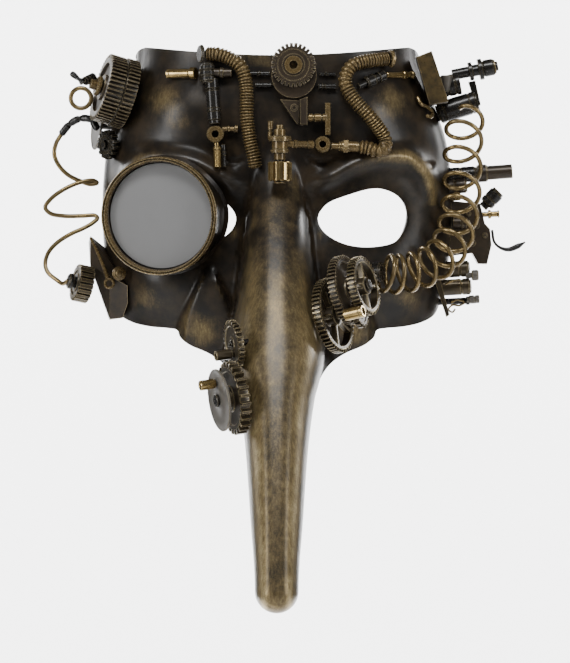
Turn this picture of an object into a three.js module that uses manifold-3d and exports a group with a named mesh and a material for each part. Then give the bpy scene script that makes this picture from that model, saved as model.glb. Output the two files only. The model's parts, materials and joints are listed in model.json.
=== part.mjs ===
// Long-nosed half mask with a goggle and machine trim, in millimetres.
// +X is the viewer's right, +Z is up, and the face looks along -Y.
// The origin is on the wearer's eye line, midway between the eyes, in the plane of the rear rim.
// "Forward" is the distance in front of that plane, so a point's y is minus its forward distance.

import * as THREE from 'three';
import { mergeVertices } from 'three/addons/utils/BufferGeometryUtils.js';
import { ConvexGeometry } from 'three/addons/geometries/ConvexGeometry.js';
import Module from 'manifold-3d';

const wasm = await Module();
wasm.setup();

// ---------------------------------------------------------------- driving dimensions

const WALL = 2.2;
const GAP = 0.35;
const RUNNING_GAP = 0.45;
const BACK_PLANE = 70;
const SHELL_COLUMNS = 20;
const ROUND = 12;
const FINE_TEETH = 40;

const FACE = { forward: 58, setBack: 0.0011, crest: 30, wrap: 54, power: 2.4 };
const FACE_HALF_WIDTH = [
  [-60, 79], [-43, 82.7], [-20, 87.5], [0, 89], [20, 88.5], [40, 86], [60, 79.5], [86, 71.5],
];
const TOP_DIP = 5.5;

const NOSE_TOP = 24;
const NOSE_START = 58;
const NOSE_REACH = 150;
const NOSE_BEND = 190;
const NOSE_POWER = 2.6;
const NOSE_HALF_WIDTH = [
  [-182, 10.6], [-146, 13], [-125, 14.5], [-109, 16], [-90, 18.8], [-81, 21.2], [-66, 24], [-40, 20], [0, 15],
  [30, 11],
];
const NOSE_DEPTH = [[-182, 20], [-150, 30], [-120, 38], [-81, 52], [-60, 58], [-30, 42], [0, 26], [30, 20]];
const BLEND = 12;
const TIP_CENTRE = -182;

// The shell's right-hand edge is a corner, the side, this lower edge below the cheek, the beak and its tip.
const TOP_CORNER = [[69.5, 86.2], [71.8, 84.8]];
const SIDE_ROWS = { from: 81, to: -43, count: 14 };
const LOWER_EDGE = [
  [79.6, -48.5], [73, -52.2], [64, -54.3], [54.5, -55.2], [50, -56.2], [48.8, -59.4], [44, -63.4],
  [34.5, -67.6], [27.8, -72], [24, -76.2],
];
const BEAK_ROWS = { from: -81, to: -182, count: 9 };
const TIP_ROWS = 4;

const BROW = { height: 6.5, width: 5.2 };
const BROW_LINE = [[12, 13], [27, 19.5], [42, 27.5], [57, 30.5], [67, 30], [75, 23], [78.5, 13], [79, 3]];
const EYE = [
  [20.5, 0], [24.5, 6.5], [35, 11.2], [51, 14.7], [61.8, 10], [65.6, 2], [60.5, -10.8], [47, -14.5],
  [33, -12.7], [23, -6.5],
];

const GOGGLE = { x: -59.2, z: 0.5, forward: 66, turn: 14, drop: 3.5, outer: 28.6, inner: 26.7, length: 46 };
const GOGGLE_RIM = { outer: 29.5, inner: 26.9, depth: 4 };
const LENS = { radius: 26.3, recess: 5.7, thickness: 1.8 };

const HOSE_RADIUS = 3.6;
const HOSE_LIFT = 5.8;
const WIRE_RADIUS = 0.95;
const COIL = { turns: 12, radius: 9.2, wire: 1.15, sides: 5, stepsPerTurn: 9 };

// ---------------------------------------------------------------- the face's surface

// Smooth curve through [position, value] pairs in rising order, level beyond both ends.
function through(pairs, place) {
  const last = pairs.length - 1;
  if (place <= pairs[0][0]) return pairs[0][1];
  if (place >= pairs[last][0]) return pairs[last][1];
  const i = pairs.findIndex((pair) => pair[0] > place) - 1;
  const slope = (k) => {
    if (k === 0 || k === last) return 0;
    return (pairs[k + 1][1] - pairs[k - 1][1]) / (pairs[k + 1][0] - pairs[k - 1][0]);
  };
  const span = pairs[i + 1][0] - pairs[i][0];
  const t = (place - pairs[i][0]) / span;
  const rise = (2 * t ** 3 - 3 * t * t + 1) * pairs[i][1] + (3 * t * t - 2 * t ** 3) * pairs[i + 1][1];
  return rise + span * ((t ** 3 - 2 * t * t + t) * slope(i) + (t ** 3 - t * t) * slope(i + 1));
}

function smoothMax(a, b, reach) {
  const overlap = Math.max(reach - Math.abs(a - b), 0) / reach;
  return Math.max(a, b) + (overlap * overlap * reach) / 4;
}

function smoothStep(low, high, value) {
  const t = Math.min(1, Math.max(0, (value - low) / (high - low)));
  return t * t * (3 - 2 * t);
}

// One for the middle of a section, falling to nought at its edge, like the top of a rounded box.
function crown(ratio, power) {
  return (1 - Math.min(ratio, 1) ** power) ** (1 / power);
}

function mound(x, z, x0, z0, width, height) {
  return Math.exp(-(((x - x0) / width) ** 2) - ((z - z0) / height) ** 2);
}

const browCurve = new THREE.CatmullRomCurve3(BROW_LINE.map(([x, z]) => new THREE.Vector3(x, 0, z)));
const browPoints = browCurve.getSpacedPoints(40);

// Rounded bead over the eye, fading out at both ends of its line.
function brow(x, z) {
  let nearest = Infinity;
  let along = 0;
  browPoints.forEach((point, i) => {
    const distance = Math.hypot(x - point.x, z - point.z);
    if (distance < nearest) {
      nearest = distance;
      along = i / (browPoints.length - 1);
    }
  });
  const fade = smoothStep(0, 0.2, along) * smoothStep(0, 0.25, 1 - along);
  return BROW.height * fade * Math.exp(-((nearest / BROW.width) ** 2));
}

// Lobe beside the nose that widens downwards, like the wing of a nostril.
function noseWing(x, z) {
  const reach = 3 + 12 * smoothStep(-22, -58, z);
  const across = Math.abs(x - 34) / reach;
  return 5 * smoothStep(-22, -34, z) * (1 - smoothStep(0.75, 1.15, across));
}

function face(x, z) {
  const side = Math.abs(x);
  const ratio = side / through(FACE_HALF_WIDTH, z);
  let forward = FACE.forward - FACE.setBack * (z - FACE.crest) ** 2;
  forward -= FACE.wrap * (1 - crown(ratio, FACE.power));
  forward += brow(side, z);
  forward -= 8 * mound(side, z, 42, 0, 26, 18);
  forward += 4 * mound(side, z, 64, -32, 18, 14);
  forward += 4 * mound(side, z, 50, 54, 20, 13);
  forward += noseWing(side, z);
  return forward;
}

function nose(x, z) {
  const level = Math.max(z, TIP_CENTRE);
  const ridge = NOSE_START + NOSE_REACH * (1 - Math.exp((level - NOSE_TOP) / NOSE_BEND));
  const halfWidth = through(NOSE_HALF_WIDTH, level);
  const ratio = Math.hypot(x, z - level) / halfWidth;
  const overhang = Math.max(ratio - 1, 0) * halfWidth * 4;
  return ridge - through(NOSE_DEPTH, level) * (1 - crown(ratio, NOSE_POWER)) - overhang;
}

function forwardAt(x, z) {
  return smoothMax(face(x, z), nose(x, z), BLEND);
}

// A point a given height in front of the shell.
function on(x, z, lift) {
  return new THREE.Vector3(x, -(forwardAt(x, z) + lift), z);
}

function at(x, forward, z) {
  return new THREE.Vector3(x, -forward, z);
}

// ---------------------------------------------------------------- solids

function toSolid(geometry) {
  const bare = geometry.clone();
  bare.deleteAttribute('normal');
  bare.deleteAttribute('uv');
  const merged = mergeVertices(bare, 1e-4);
  return new wasm.Manifold(new wasm.Mesh({
    numProp: 3,
    vertProperties: new Float32Array(merged.attributes.position.array),
    triVerts: new Uint32Array(merged.index.array),
  }));
}

function toGeometry(solid) {
  const mesh = solid.getMesh();
  const geometry = new THREE.BufferGeometry();
  geometry.setAttribute('position', new THREE.BufferAttribute(mesh.vertProperties, 3));
  geometry.setIndex(new THREE.BufferAttribute(mesh.triVerts, 1));
  geometry.computeVertexNormals();
  return geometry;
}

function join(...geometries) {
  const solids = geometries.map(toSolid);
  return toGeometry(solids.reduce((whole, next) => whole.add(next)));
}

// A closed slab between two grids of the same size, the first of them facing forward.
function slab(outside, inside) {
  const rows = outside.length;
  const columns = outside[0].length;
  const points = [...outside.flat(), ...inside.flat()];
  const index = [];
  const id = (j, i) => j * columns + i;
  const shift = rows * columns;
  for (let j = 0; j < rows - 1; j += 1) {
    for (let i = 0; i < columns - 1; i += 1) {
      const [a, b, c, d] = [id(j, i), id(j, i + 1), id(j + 1, i + 1), id(j + 1, i)];
      index.push(a, d, c, a, c, b);
      index.push(shift + a, shift + c, shift + d, shift + a, shift + b, shift + c);
    }
  }
  const loop = [];
  for (let j = 0; j < rows - 1; j += 1) loop.push(id(j, 0));
  for (let i = 0; i < columns - 1; i += 1) loop.push(id(rows - 1, i));
  for (let j = rows - 1; j > 0; j -= 1) loop.push(id(j, columns - 1));
  for (let i = columns - 1; i > 0; i -= 1) loop.push(id(0, i));
  loop.forEach((u, k) => {
    const v = loop[(k + 1) % loop.length];
    index.push(v, u, shift + u, v, shift + u, shift + v);
  });
  const geometry = new THREE.BufferGeometry();
  geometry.setAttribute('position', new THREE.Float32BufferAttribute(points.flatMap((p) => p.toArray()), 3));
  geometry.setIndex(index);
  geometry.computeVertexNormals();
  return geometry;
}

function levels({ from, to, count }) {
  return Array.from({ length: count }, (_, k) => from + ((to - from) * k) / (count - 1));
}

// The edge's points from the top corner down to the beak's tip, as half-width and height.
function edgeRows() {
  const side = levels(SIDE_ROWS).map((z) => [through(FACE_HALF_WIDTH, z), z]);
  const beak = levels(BEAK_ROWS).map((z) => [through(NOSE_HALF_WIDTH, z), z]);
  const radius = through(NOSE_HALF_WIDTH, TIP_CENTRE);
  const tip = [];
  for (let k = 1; k <= TIP_ROWS; k += 1) {
    const angle = (k / TIP_ROWS) * THREE.MathUtils.degToRad(80);
    tip.push([radius * Math.cos(angle), TIP_CENTRE - radius * Math.sin(angle)]);
  }
  return [...TOP_CORNER, ...side, ...LOWER_EDGE, ...beak, ...tip];
}

// Points over the shell's front, row by row down its edge, closer together towards the sides.
function frontGrid() {
  return edgeRows().map(([halfWidth, level]) => {
    const dip = TOP_DIP * smoothStep(55, 86, level);
    const row = [];
    for (let i = 0; i <= SHELL_COLUMNS; i += 1) {
      const u = (2 * i) / SHELL_COLUMNS - 1;
      const ratio = Math.sign(u) * Math.sin((Math.abs(u) * Math.PI) / 2) ** 1.15;
      row.push(on(halfWidth * ratio, level - dip * (1 - ratio * ratio), 0));
    }
    return row;
  });
}

// The same grid moved along the surface's own outward direction.
function offsetGrid(grid, distance) {
  const rows = grid.length;
  const columns = grid[0].length;
  return grid.map((row, j) => row.map((point, i) => {
    const right = grid[j][Math.min(i + 1, columns - 1)].clone().sub(grid[j][Math.max(i - 1, 0)]);
    const down = grid[Math.min(j + 1, rows - 1)][i].clone().sub(grid[Math.max(j - 1, 0)][i]);
    const outward = down.cross(right).normalize();
    return point.clone().addScaledVector(outward, distance);
  }));
}

const front = frontGrid();
const rear = offsetGrid(front, -WALL);
const proud = offsetGrid(front, GAP);
const flatBack = proud.map((row) => row.map((point) => new THREE.Vector3(point.x, BACK_PLANE, point.z)));
const keepOut = toSolid(slab(proud, flatBack));

// Cuts a piece back to the shell's surface, so that it sits on the shell with a hair's gap.
function seated(geometry) {
  return toGeometry(toSolid(geometry).subtract(keepOut));
}

function spun(profile, sides = ROUND) {
  const points = profile.map(([radius, height]) => new THREE.Vector2(radius, height));
  return new THREE.LatheGeometry(points, sides).rotateX(Math.PI / 2);
}

// A round bar along +Z between two heights, with a bore if an inner radius is given.
function bar(radius, low, high, inner = 0, sides = ROUND) {
  if (inner === 0) return spun([[0, low], [radius, low], [radius, high], [0, high]], sides);
  return spun([[inner, low], [radius, low], [radius, high], [inner, high], [inner, low]], sides);
}

// A stepped shaft along +Z, given as [radius, length] steps from a starting height.
function stepped(steps, start = 0, sides = ROUND) {
  const profile = [[0, start]];
  let height = start;
  steps.forEach(([radius, length]) => {
    profile.push([radius, height], [radius, height + length]);
    height += length;
  });
  profile.push([0, height]);
  return spun(profile, sides);
}

// Teeth are flat-topped, or simple points on a fine-pitched wheel.
function toothedShape(teeth, root, tip, fine) {
  const shape = new THREE.Shape();
  const pitch = (2 * Math.PI) / teeth;
  const steps = fine ? [[0, root], [0.5, tip]] : [[0, root], [0.25, tip], [0.5, tip], [0.75, root]];
  for (let i = 0; i < teeth; i += 1) {
    steps.forEach(([part, radius], k) => {
      const angle = (i + part) * pitch;
      const point = [radius * Math.cos(angle), radius * Math.sin(angle)];
      if (i === 0 && k === 0) shape.moveTo(...point);
      else shape.lineTo(...point);
    });
  }
  shape.closePath();
  return shape;
}

function circlePath(radius, sides = ROUND) {
  const path = new THREE.Path();
  for (let i = 0; i < sides; i += 1) {
    const angle = (2 * Math.PI * i) / sides;
    const point = [radius * Math.cos(angle), radius * Math.sin(angle)];
    if (i === 0) path.moveTo(...point);
    else path.lineTo(...point);
  }
  path.closePath();
  return path;
}

// The openings between a wheel's spokes.
function spokeWindows(count, inner, outer, spokeWidth) {
  const windows = [];
  const pitch = (2 * Math.PI) / count;
  for (let i = 0; i < count; i += 1) {
    const path = new THREE.Path();
    const trimOuter = spokeWidth / 2 / outer;
    const trimInner = spokeWidth / 2 / inner;
    const steps = 4;
    const points = [];
    for (let k = 0; k <= steps; k += 1) {
      const angle = i * pitch + trimOuter + ((pitch - 2 * trimOuter) * k) / steps;
      points.push([outer * Math.cos(angle), outer * Math.sin(angle)]);
    }
    for (let k = steps; k >= 0; k -= 2) {
      const angle = i * pitch + trimInner + ((pitch - 2 * trimInner) * k) / steps;
      points.push([inner * Math.cos(angle), inner * Math.sin(angle)]);
    }
    points.forEach((point, k) => (k === 0 ? path.moveTo(...point) : path.lineTo(...point)));
    path.closePath();
    windows.push(path);
  }
  return windows;
}

function gear({ teeth, root, tip, thickness, bore, windows = [], base = 0 }) {
  const shape = toothedShape(teeth, root, tip, teeth >= FINE_TEETH);
  if (bore) shape.holes.push(circlePath(bore));
  shape.holes.push(...windows);
  return new THREE.ExtrudeGeometry(shape, { depth: thickness, bevelEnabled: false }).translate(0, 0, base);
}

function sweep(points, radius, sides, steps) {
  const curve = new THREE.CatmullRomCurve3(points);
  const section = new THREE.Shape(circlePath(radius, sides).getPoints());
  return new THREE.ExtrudeGeometry(section, { steps, extrudePath: curve, bevelEnabled: false });
}

// A flat outline in X and Z, made solid between two forward distances.
function plate(outline, near, far) {
  const shape = new THREE.Shape(outline.map(([x, z]) => new THREE.Vector2(x, z)));
  const geometry = new THREE.ExtrudeGeometry(shape, { depth: far - near, bevelEnabled: false });
  return geometry.rotateX(Math.PI / 2).translate(0, -near, 0);
}

function hull(points) {
  return new ConvexGeometry(points);
}

// The placement that puts a piece's own +Z along a direction at a point, with its own +Y upright.
function facing(position, direction) {
  const along = direction.clone().normalize();
  const upright = Math.abs(along.z) > 0.99 ? new THREE.Vector3(0, 1, 0) : new THREE.Vector3(0, 0, 1);
  const across = upright.cross(along).normalize();
  const rise = along.clone().cross(across);
  return new THREE.Matrix4().makeBasis(across, rise, along).setPosition(position);
}

function between(start, end, radius, sides = 16) {
  const length = start.distanceTo(end);
  return bar(radius, 0, length, 0, sides).applyMatrix4(facing(start, end.clone().sub(start)));
}

// ---------------------------------------------------------------- finishes

const FINISHES = {
  agedBlack: { color: 0x2b2620, roughness: 0.42, metalness: 0.55 },
  antiqueGold: { color: 0x8f7a4a, roughness: 0.35, metalness: 0.85 },
  brass: { color: 0xb59a5c, roughness: 0.3, metalness: 0.9 },
  rustBrown: { color: 0x4a3a2a, roughness: 0.55, metalness: 0.6 },
  blackPlastic: { color: 0x1b1a18, roughness: 0.4, metalness: 0.1 },
  greyPlastic: { color: 0x77756f, roughness: 0.5, metalness: 0.2 },
  lensGrey: { color: 0x929292, roughness: 0.25, metalness: 0 },
};

const mask = new THREE.Group();

function add(name, geometry, finish, parent = mask) {
  const material = new THREE.MeshStandardMaterial(FINISHES[finish]);
  const mesh = new THREE.Mesh(geometry, material);
  mesh.name = name;
  parent.add(mesh);
  return mesh;
}

// A group whose own +Z lies along an axle.
function station(position, direction) {
  const group = new THREE.Group();
  group.applyMatrix4(facing(position, direction));
  mask.add(group);
  return group;
}

// Adds a piece modelled on an axle's own frame, cut back to the shell.
function addSeated(name, geometry, finish, group) {
  group.updateMatrixWorld(true);
  const placed = geometry.clone().applyMatrix4(group.matrixWorld);
  add(name, seated(placed), finish);
}

// ---------------------------------------------------------------- shell and goggle

const STRAP = { forward: 9, z: 12, wallX: 88.6, hole: 2.3, barrel: 1.9, bore: 1.2, flange: 4 };

function eyeCutter(mirror) {
  const curve = new THREE.CatmullRomCurve3(EYE.map(([x, z]) => new THREE.Vector3(mirror * x, z, 0)), true);
  const outline = curve.getPoints(30).slice(0, -1).map((p) => [p.x, p.y]);
  return toSolid(plate(mirror < 0 ? outline.reverse() : outline, 0, 100));
}

function strapCutter(side) {
  const start = at(side * (STRAP.wallX - 8), STRAP.forward, STRAP.z);
  return toSolid(between(start, at(side * (STRAP.wallX + 6), STRAP.forward, STRAP.z), STRAP.hole, 16));
}

function buildShell() {
  let solid = toSolid(slab(front, rear));
  [-1, 1].forEach((side) => {
    solid = solid.subtract(eyeCutter(side)).subtract(strapCutter(side));
  });
  add('mask_shell', toGeometry(solid), 'agedBlack');
}

function buildStrapEyelets() {
  [['left', -1], ['right', 1]].forEach(([name, side]) => {
    const { flange, bore, barrel } = STRAP;
    const profile = [
      [bore, 0], [flange, 0], [flange, 0.8], [barrel, 0.8], [barrel, 2.9], [bore, 2.9], [bore, 0],
    ];
    const start = at(side * (STRAP.wallX - 3.6), STRAP.forward, STRAP.z);
    const placed = spun(profile, 12).applyMatrix4(facing(start, new THREE.Vector3(side, 0, 0)));
    add(`strap_eyelet_${name}`, placed, 'blackPlastic');
  });
}

function buildGoggle() {
  const turn = THREE.MathUtils.degToRad(GOGGLE.turn);
  const drop = THREE.MathUtils.degToRad(GOGGLE.drop);
  const axis = new THREE.Vector3(-Math.sin(turn), -Math.cos(turn) * Math.cos(drop), -Math.sin(drop));
  const group = station(at(GOGGLE.x, GOGGLE.forward, GOGGLE.z), axis);
  const tubeFront = -GOGGLE_RIM.depth - GAP;
  const ledge = -LENS.recess - LENS.thickness - GAP;
  const { outer, inner } = GOGGLE;
  const tube = spun([
    [inner, tubeFront], [outer, tubeFront], [outer, -GOGGLE.length], [inner - 2, -GOGGLE.length],
    [inner - 2, ledge], [inner, ledge], [inner, tubeFront],
  ].reverse(), 30);
  addSeated('goggle_tube', tube, 'agedBlack', group);
  const rim = spun([
    [GOGGLE_RIM.inner, -GOGGLE_RIM.depth], [GOGGLE_RIM.outer, -GOGGLE_RIM.depth], [GOGGLE_RIM.outer, -1],
    [GOGGLE_RIM.outer - 0.8, 0], [GOGGLE_RIM.inner + 0.6, 0], [GOGGLE_RIM.inner, -0.8],
    [GOGGLE_RIM.inner, -GOGGLE_RIM.depth],
  ], 30);
  add('goggle_rim', rim, 'antiqueGold', group);
  add('goggle_lens', bar(LENS.radius, -LENS.recess - LENS.thickness, -LENS.recess, 0, 30), 'lensGrey', group);
}

// ---------------------------------------------------------------- forehead

const CROWN_GEAR = { x: 8.2, z: 75.7, forward: 63, axle: 3 };

function buildCrownGear() {
  const group = station(at(CROWN_GEAR.x, CROWN_GEAR.forward, CROWN_GEAR.z), new THREE.Vector3(0, -1, 0));
  const bore = CROWN_GEAR.axle + RUNNING_GAP;
  add('crown_gear', gear({ teeth: 28, root: 9.2, tip: 11, thickness: 3, bore }), 'rustBrown', group);
  const disc = bar(11.3, -2.6, -0.5, 0, 24).translate(0.3, -5.1, 0);
  const axle = spun([[0, -2], [3, -2], [3, 3.4], [4.5, 3.4], [4.5, 4.4], [2.1, 4.4], [2.1, 1], [0, 1]]);
  const foot = bar(5, -10, -2, 0, 14).translate(0.3, -8.7, 0);
  addSeated('crown_gear_bracket', join(disc, axle, foot), 'rustBrown', group);
}

function buildCrownRods() {
  add('crown_rod_upper', seated(between(on(21, 71.6, 1.6), on(29.6, 71.6, 1.6), 0.9, 8)), 'agedBlack');
  add('crown_rod_lower', seated(between(on(20.4, 65.4, 2), on(29.6, 65.4, 2), 1.5, 10)), 'agedBlack');
}

function buildLeverGroup() {
  const bell = plate([[1.5, 58.8], [11.7, 58.2], [10.8, 46]], 60.4, 62);
  const bellBar = plate([[11.4, 46], [15.2, 46], [15.2, 60], [11.4, 58.8]], 55, 63.4);
  add('bell_crank_plate', seated(join(bell, bellBar)), 'rustBrown');
  const link = between(at(15.6, 61.4, 49.7), at(25, 61.4, 49.7), 2, 12);
  const strip = plate([[24, 41], [26.6, 41], [26.6, 57], [24, 57]], 55, 62.6);
  add('link_lever', seated(join(link, strip)), 'antiqueGold');
}

const LEFT_HOSE = [
  [-34.3, 81.7], [-28.7, 81.3], [-23.1, 79.1], [-18.4, 75.5], [-16.2, 70.5], [-15.3, 64.5], [-15.1, 57],
  [-15, 50.3], [-14.3, 43.8], [-13.2, 37.4], [-11.6, 30.5], [-10.9, 25.7],
];
const RIGHT_HOSE = [
  [54.4, 79.7], [49.4, 78.9], [43, 77.9], [37.5, 75.7], [34.7, 71.9], [33.9, 67.5], [35.5, 63.1],
  [39.5, 57.5], [45.4, 51.2], [50.2, 45.2], [53.6, 40], [54.2, 36], [52, 33.2], [48.8, 33.4], [45.4, 34.6],
  [42, 35.1],
];

// A short open boss standing on the shell, facing forward.
function boss(x, z, radius, bore, lift, depth) {
  const top = on(x, z, lift);
  return seated(bar(radius, -depth, 0, bore, 16).applyMatrix4(facing(top, new THREE.Vector3(0, -1, 0))));
}

function buildLeftPipework() {
  const route = LEFT_HOSE.map(([x, z]) => on(x, z, HOSE_LIFT));
  add('left_hose', sweep(route, HOSE_RADIUS, 8, 22), 'antiqueGold');
  const flangePlace = facing(on(-35.4, 81.7, HOSE_LIFT), new THREE.Vector3(-1, -0.35, 0));
  add('left_hose_flange', bar(4.5, 1.9, 3.7, 0, 16).applyMatrix4(flangePlace), 'blackPlastic');
  const pipe = stepped([[2.25, 12.1], [3, 2.8]]).applyMatrix4(
    facing(on(-54, 72.2, 3.6), on(-38.9, 72.2, 3.6).sub(on(-54, 72.2, 3.6))),
  );
  add('left_pipe', seated(pipe), 'brass');
  const body = join(
    between(on(-34.4, 66.8, 5), on(-34.8, 76.6, 5), 3.9, 16),
    between(on(-32.6, 69, 4), on(-31, 46.4, 3.6), 3.4, 14),
    between(on(-35.2, 72.2, 5), on(-38.2, 72.2, 4.4), 2.4, 12),
  );
  add('left_valve_body', seated(body), 'blackPlastic');
  const branch = seated(between(on(-28.4, 44, 3), on(-19.4, 44.2, 2.6), 1.15, 10));
  add('left_ring', join(boss(-30.75, 41.5, 3.9, 1.8, 7, 14), branch), 'antiqueGold');
  const nozzle = join(
    between(on(-30.2, 37.3, 3.4), on(-29.8, 34, 3.4), 1.3, 12),
    between(on(-29.9, 35.5, 3.4), on(-29.5, 24.6, 3.4), 1.9, 12),
  );
  add('left_nozzle', seated(nozzle), 'brass');
}

function buildRightPipework() {
  const route = RIGHT_HOSE.map(([x, z]) => on(x, z, HOSE_LIFT));
  add('right_hose', sweep(route, HOSE_RADIUS, 8, 26), 'antiqueGold');
  const ringPlace = facing(on(56.2, 79.8, HOSE_LIFT + 1.2), new THREE.Vector3(1, 0.5, 0));
  add('right_hose_ring', bar(4.3, 0, 1.8, 0, 16).applyMatrix4(ringPlace), 'antiqueGold');
  add('right_pipe', seated(between(on(54.6, 71.6, 3.2), on(68, 72.4, 3.4), 1.8, 12)), 'brass');
  const barrel = stepped([[1.6, 4], [3.2, 4.6], [2.2, 2], [2.9, 3]]).applyMatrix4(
    facing(on(40.4, 65.5, 3.4), on(53.5, 71.4, 3.4).sub(on(40.4, 65.5, 3.4))),
  );
  add('right_barrel', seated(barrel), 'blackPlastic');
  add('right_ring', boss(22.75, 36.4, 3.7, 1.7, 7, 14), 'antiqueGold');
  const union = stepped([[1.7, 1.6], [2.7, 4.4], [3.3, 2.6], [2.1, 3.4], [2.6, 2]]).applyMatrix4(
    facing(on(27, 35.6, 4.6), on(41, 35.1, HOSE_LIFT).sub(on(27, 35.6, 4.6))),
  );
  add('right_union', seated(union), 'antiqueGold');
}

const VALVE = { x: 1.4, forward: 72.5 };

function buildValve() {
  const up = new THREE.Vector3(0, 0, 1);
  const group = station(at(VALVE.x, VALVE.forward, 0), up);
  const stem = stepped([
    [3, 0.8], [1.7, 10.8], [2.8, 3.4], [4.5, 2], [4, 3.9], [5.9, 2.5], [2.9, 3.4], [1.8, 2.2],
  ], 16.6);
  const bracket = new THREE.BoxGeometry(5, 14, 5).translate(0, 7.5, 36.6);
  const lever = bar(1.1, 38, 47.5, 0, 10).translate(-4.6, 1, 0);
  const sideRod = between(new THREE.Vector3(2, 6, 36.4), new THREE.Vector3(16.8, 9.3, 36.2), 1.7, 12);
  group.updateMatrixWorld(true);
  const whole = join(stem, bracket, lever, sideRod).applyMatrix4(group.matrixWorld);
  add('valve_stem', seated(whole), 'antiqueGold');
  const flutes = gear({ teeth: 10, root: 4.7, tip: 6, thickness: 9.6, bore: 1.7 + RUNNING_GAP, base: 17.75 });
  add('valve_knob', flutes, 'brass', group);
}

// ---------------------------------------------------------------- left temple and jaw

const TEMPLE = { x: -74.5, forward: 31, z: 62.3, axis: new THREE.Vector3(-0.93, -0.25, 0.27) };

function buildTempleGear() {
  const group = station(at(TEMPLE.x, TEMPLE.forward, TEMPLE.z), TEMPLE.axis);
  const bore = 3 + RUNNING_GAP;
  const inner = gear({ teeth: 48, root: 16, tip: 17.8, thickness: 6, bore });
  const waist = bar(15.4, 5.5, 7.5, bore, 24);
  const outer = gear({ teeth: 48, root: 15.6, tip: 17.4, thickness: 8, bore, base: 7 });
  add('temple_gear', join(inner, waist, outer), 'rustBrown', group);
  const axle = stepped([[3, 31.5], [5.2, 2.4], [2.6, 3]], -16);
  addSeated('temple_axle', axle, 'antiqueGold', group);
}

function buildTempleTrim() {
  const ring = new THREE.TorusGeometry(5.2, 1, 6, 18).rotateX(Math.PI / 2).translate(-98.6, -37, 60.5);
  add('temple_wire_ring', ring, 'antiqueGold');
  const clip = sweep([
    at(-95.6, 32.4, 69.4), at(-100.3, 34.4, 70.4), at(-103.4, 35, 72.4), at(-102.6, 36.6, 73.2),
    at(-99.4, 37.4, 69.8), at(-98.2, 38, 67.6),
  ], 0.9, 6, 12);
  const socket = between(at(-92.6, 28, 71.6), at(-96.7, 33.4, 69.2), 2.3, 12);
  add('temple_clip', join(clip, socket), 'blackPlastic');
  const disc = new THREE.Vector3(-0.97, -0.22, 0.1);
  const group = station(at(-91, 6, 49), disc);
  const plain = join(bar(13.5, 0, 1.2, 0, 24), stepped([[2.6, 12]], -11.6));
  addSeated('temple_disc', plain, 'greyPlastic', group);
  const pinionFrame = station(at(-83.6, 27.6, 37.6), new THREE.Vector3(-0.8, -0.6, -0.05));
  const wheel = gear({ teeth: 14, root: 6, tip: 7.4, thickness: 4 });
  addSeated('temple_pinion', join(wheel, stepped([[2.5, 10]], -9.6)), 'blackPlastic', pinionFrame);
}

const SIDE_WIRE = [
  [-109.6, 43.2], [-112.2, 38.5], [-113, 33], [-110.8, 27.6], [-106.3, 22.8], [-100, 19.6], [-94.8, 18],
  [-91.4, 18.7], [-93.6, 19.9], [-101, 18.6], [-109.5, 14.5], [-115.2, 10], [-117.6, 6.2], [-115.2, 3.2],
  [-108.9, 1.9], [-99.2, 1.9], [-92.6, 2.1], [-91.3, 0.8], [-93.5, -1.6], [-98.6, -4.6], [-104.4, -7.2],
  [-111.4, -11.7], [-115.9, -16.8], [-117.4, -22.5], [-115.9, -27], [-111.6, -30.6], [-108.4, -32.6],
];

function buildSideWire() {
  const last = SIDE_WIRE.length - 1;
  const route = SIDE_WIRE.map(([x, z], i) => {
    const weave = 2.2 * Math.sin(i * 0.7);
    return at(x, 13 + weave + (i / last) * 14 * smoothStep(0.75, 1, i / last), z);
  });
  add('side_wire', sweep(route, WIRE_RADIUS, 5, 60), 'antiqueGold');
  const sleeve = [
    at(-91.2, 20.2, 46), at(-94.6, 19, 50.6), at(-100.5, 16.6, 50.9), at(-105.4, 14.6, 48.2),
    at(-109.3, 13.1, 43.7),
  ];
  add('wire_sleeve', sweep(sleeve, 1.9, 8, 9), 'blackPlastic');
}

const JAW = { x: -94.9, forward: 26.5, z: -33.4, axle: 2.6, axis: new THREE.Vector3(-0.93, -0.3, 0.2) };

function buildJaw() {
  const bracket = hull([
    at(-94.8, 14, -8.2), at(-96, 6, -11.4), at(-95.2, 6, -23.5), at(-94.6, 22, -23), at(-85.5, 6, -51),
    at(-84.6, 24, -50.6), at(-78, 26, -50), at(-75.3, 30, -42.6), at(-75.3, 34, -33.7), at(-84.3, 33, -29),
    at(-78, 12, -48), at(-80, 12, -20),
  ]);
  const eyelet = between(at(-84.4, 28, -32.6), at(-84.4, 35.4, -32.6), 2.4, 14);
  const lug = new THREE.SphereGeometry(3, 8, 6).translate(-79.3, -38.3, -27.6);
  const lugPost = between(at(-79.3, 24, -27.6), at(-79.3, 38, -27.6), 2, 10);
  add('jaw_bracket', seated(join(bracket, eyelet, lug, lugPost)), 'agedBlack');
  const group = station(at(JAW.x, JAW.forward, JAW.z), JAW.axis);
  const pinion = gear({ teeth: 20, root: 8, tip: 9.5, thickness: 7.4, bore: JAW.axle + RUNNING_GAP });
  add('jaw_pinion', pinion, 'antiqueGold', group);
  add('jaw_axle', stepped([[JAW.axle, 9.6], [4, 2.6]], -0.9), 'blackPlastic', group);
}

// ---------------------------------------------------------------- beak and cheek wheels

const BEAK_AXIS = new THREE.Vector3(-0.93, -0.33, -0.14);
const BEAK_UPPER = { x: -19.4, forward: 107, z: -62.5, axle: 1.4, pin: 2.5, pinTop: 12, pinDrop: 4.7 };
const BEAK_LOWER = { x: -18.4, forward: 114, z: -88.8, axle: 2.2, hub: 4.75, disc: 15.3, discTop: 10.8 };
const CRANK_PIN = { radius: 2.5, length: 8, rise: 8.4 };

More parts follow.
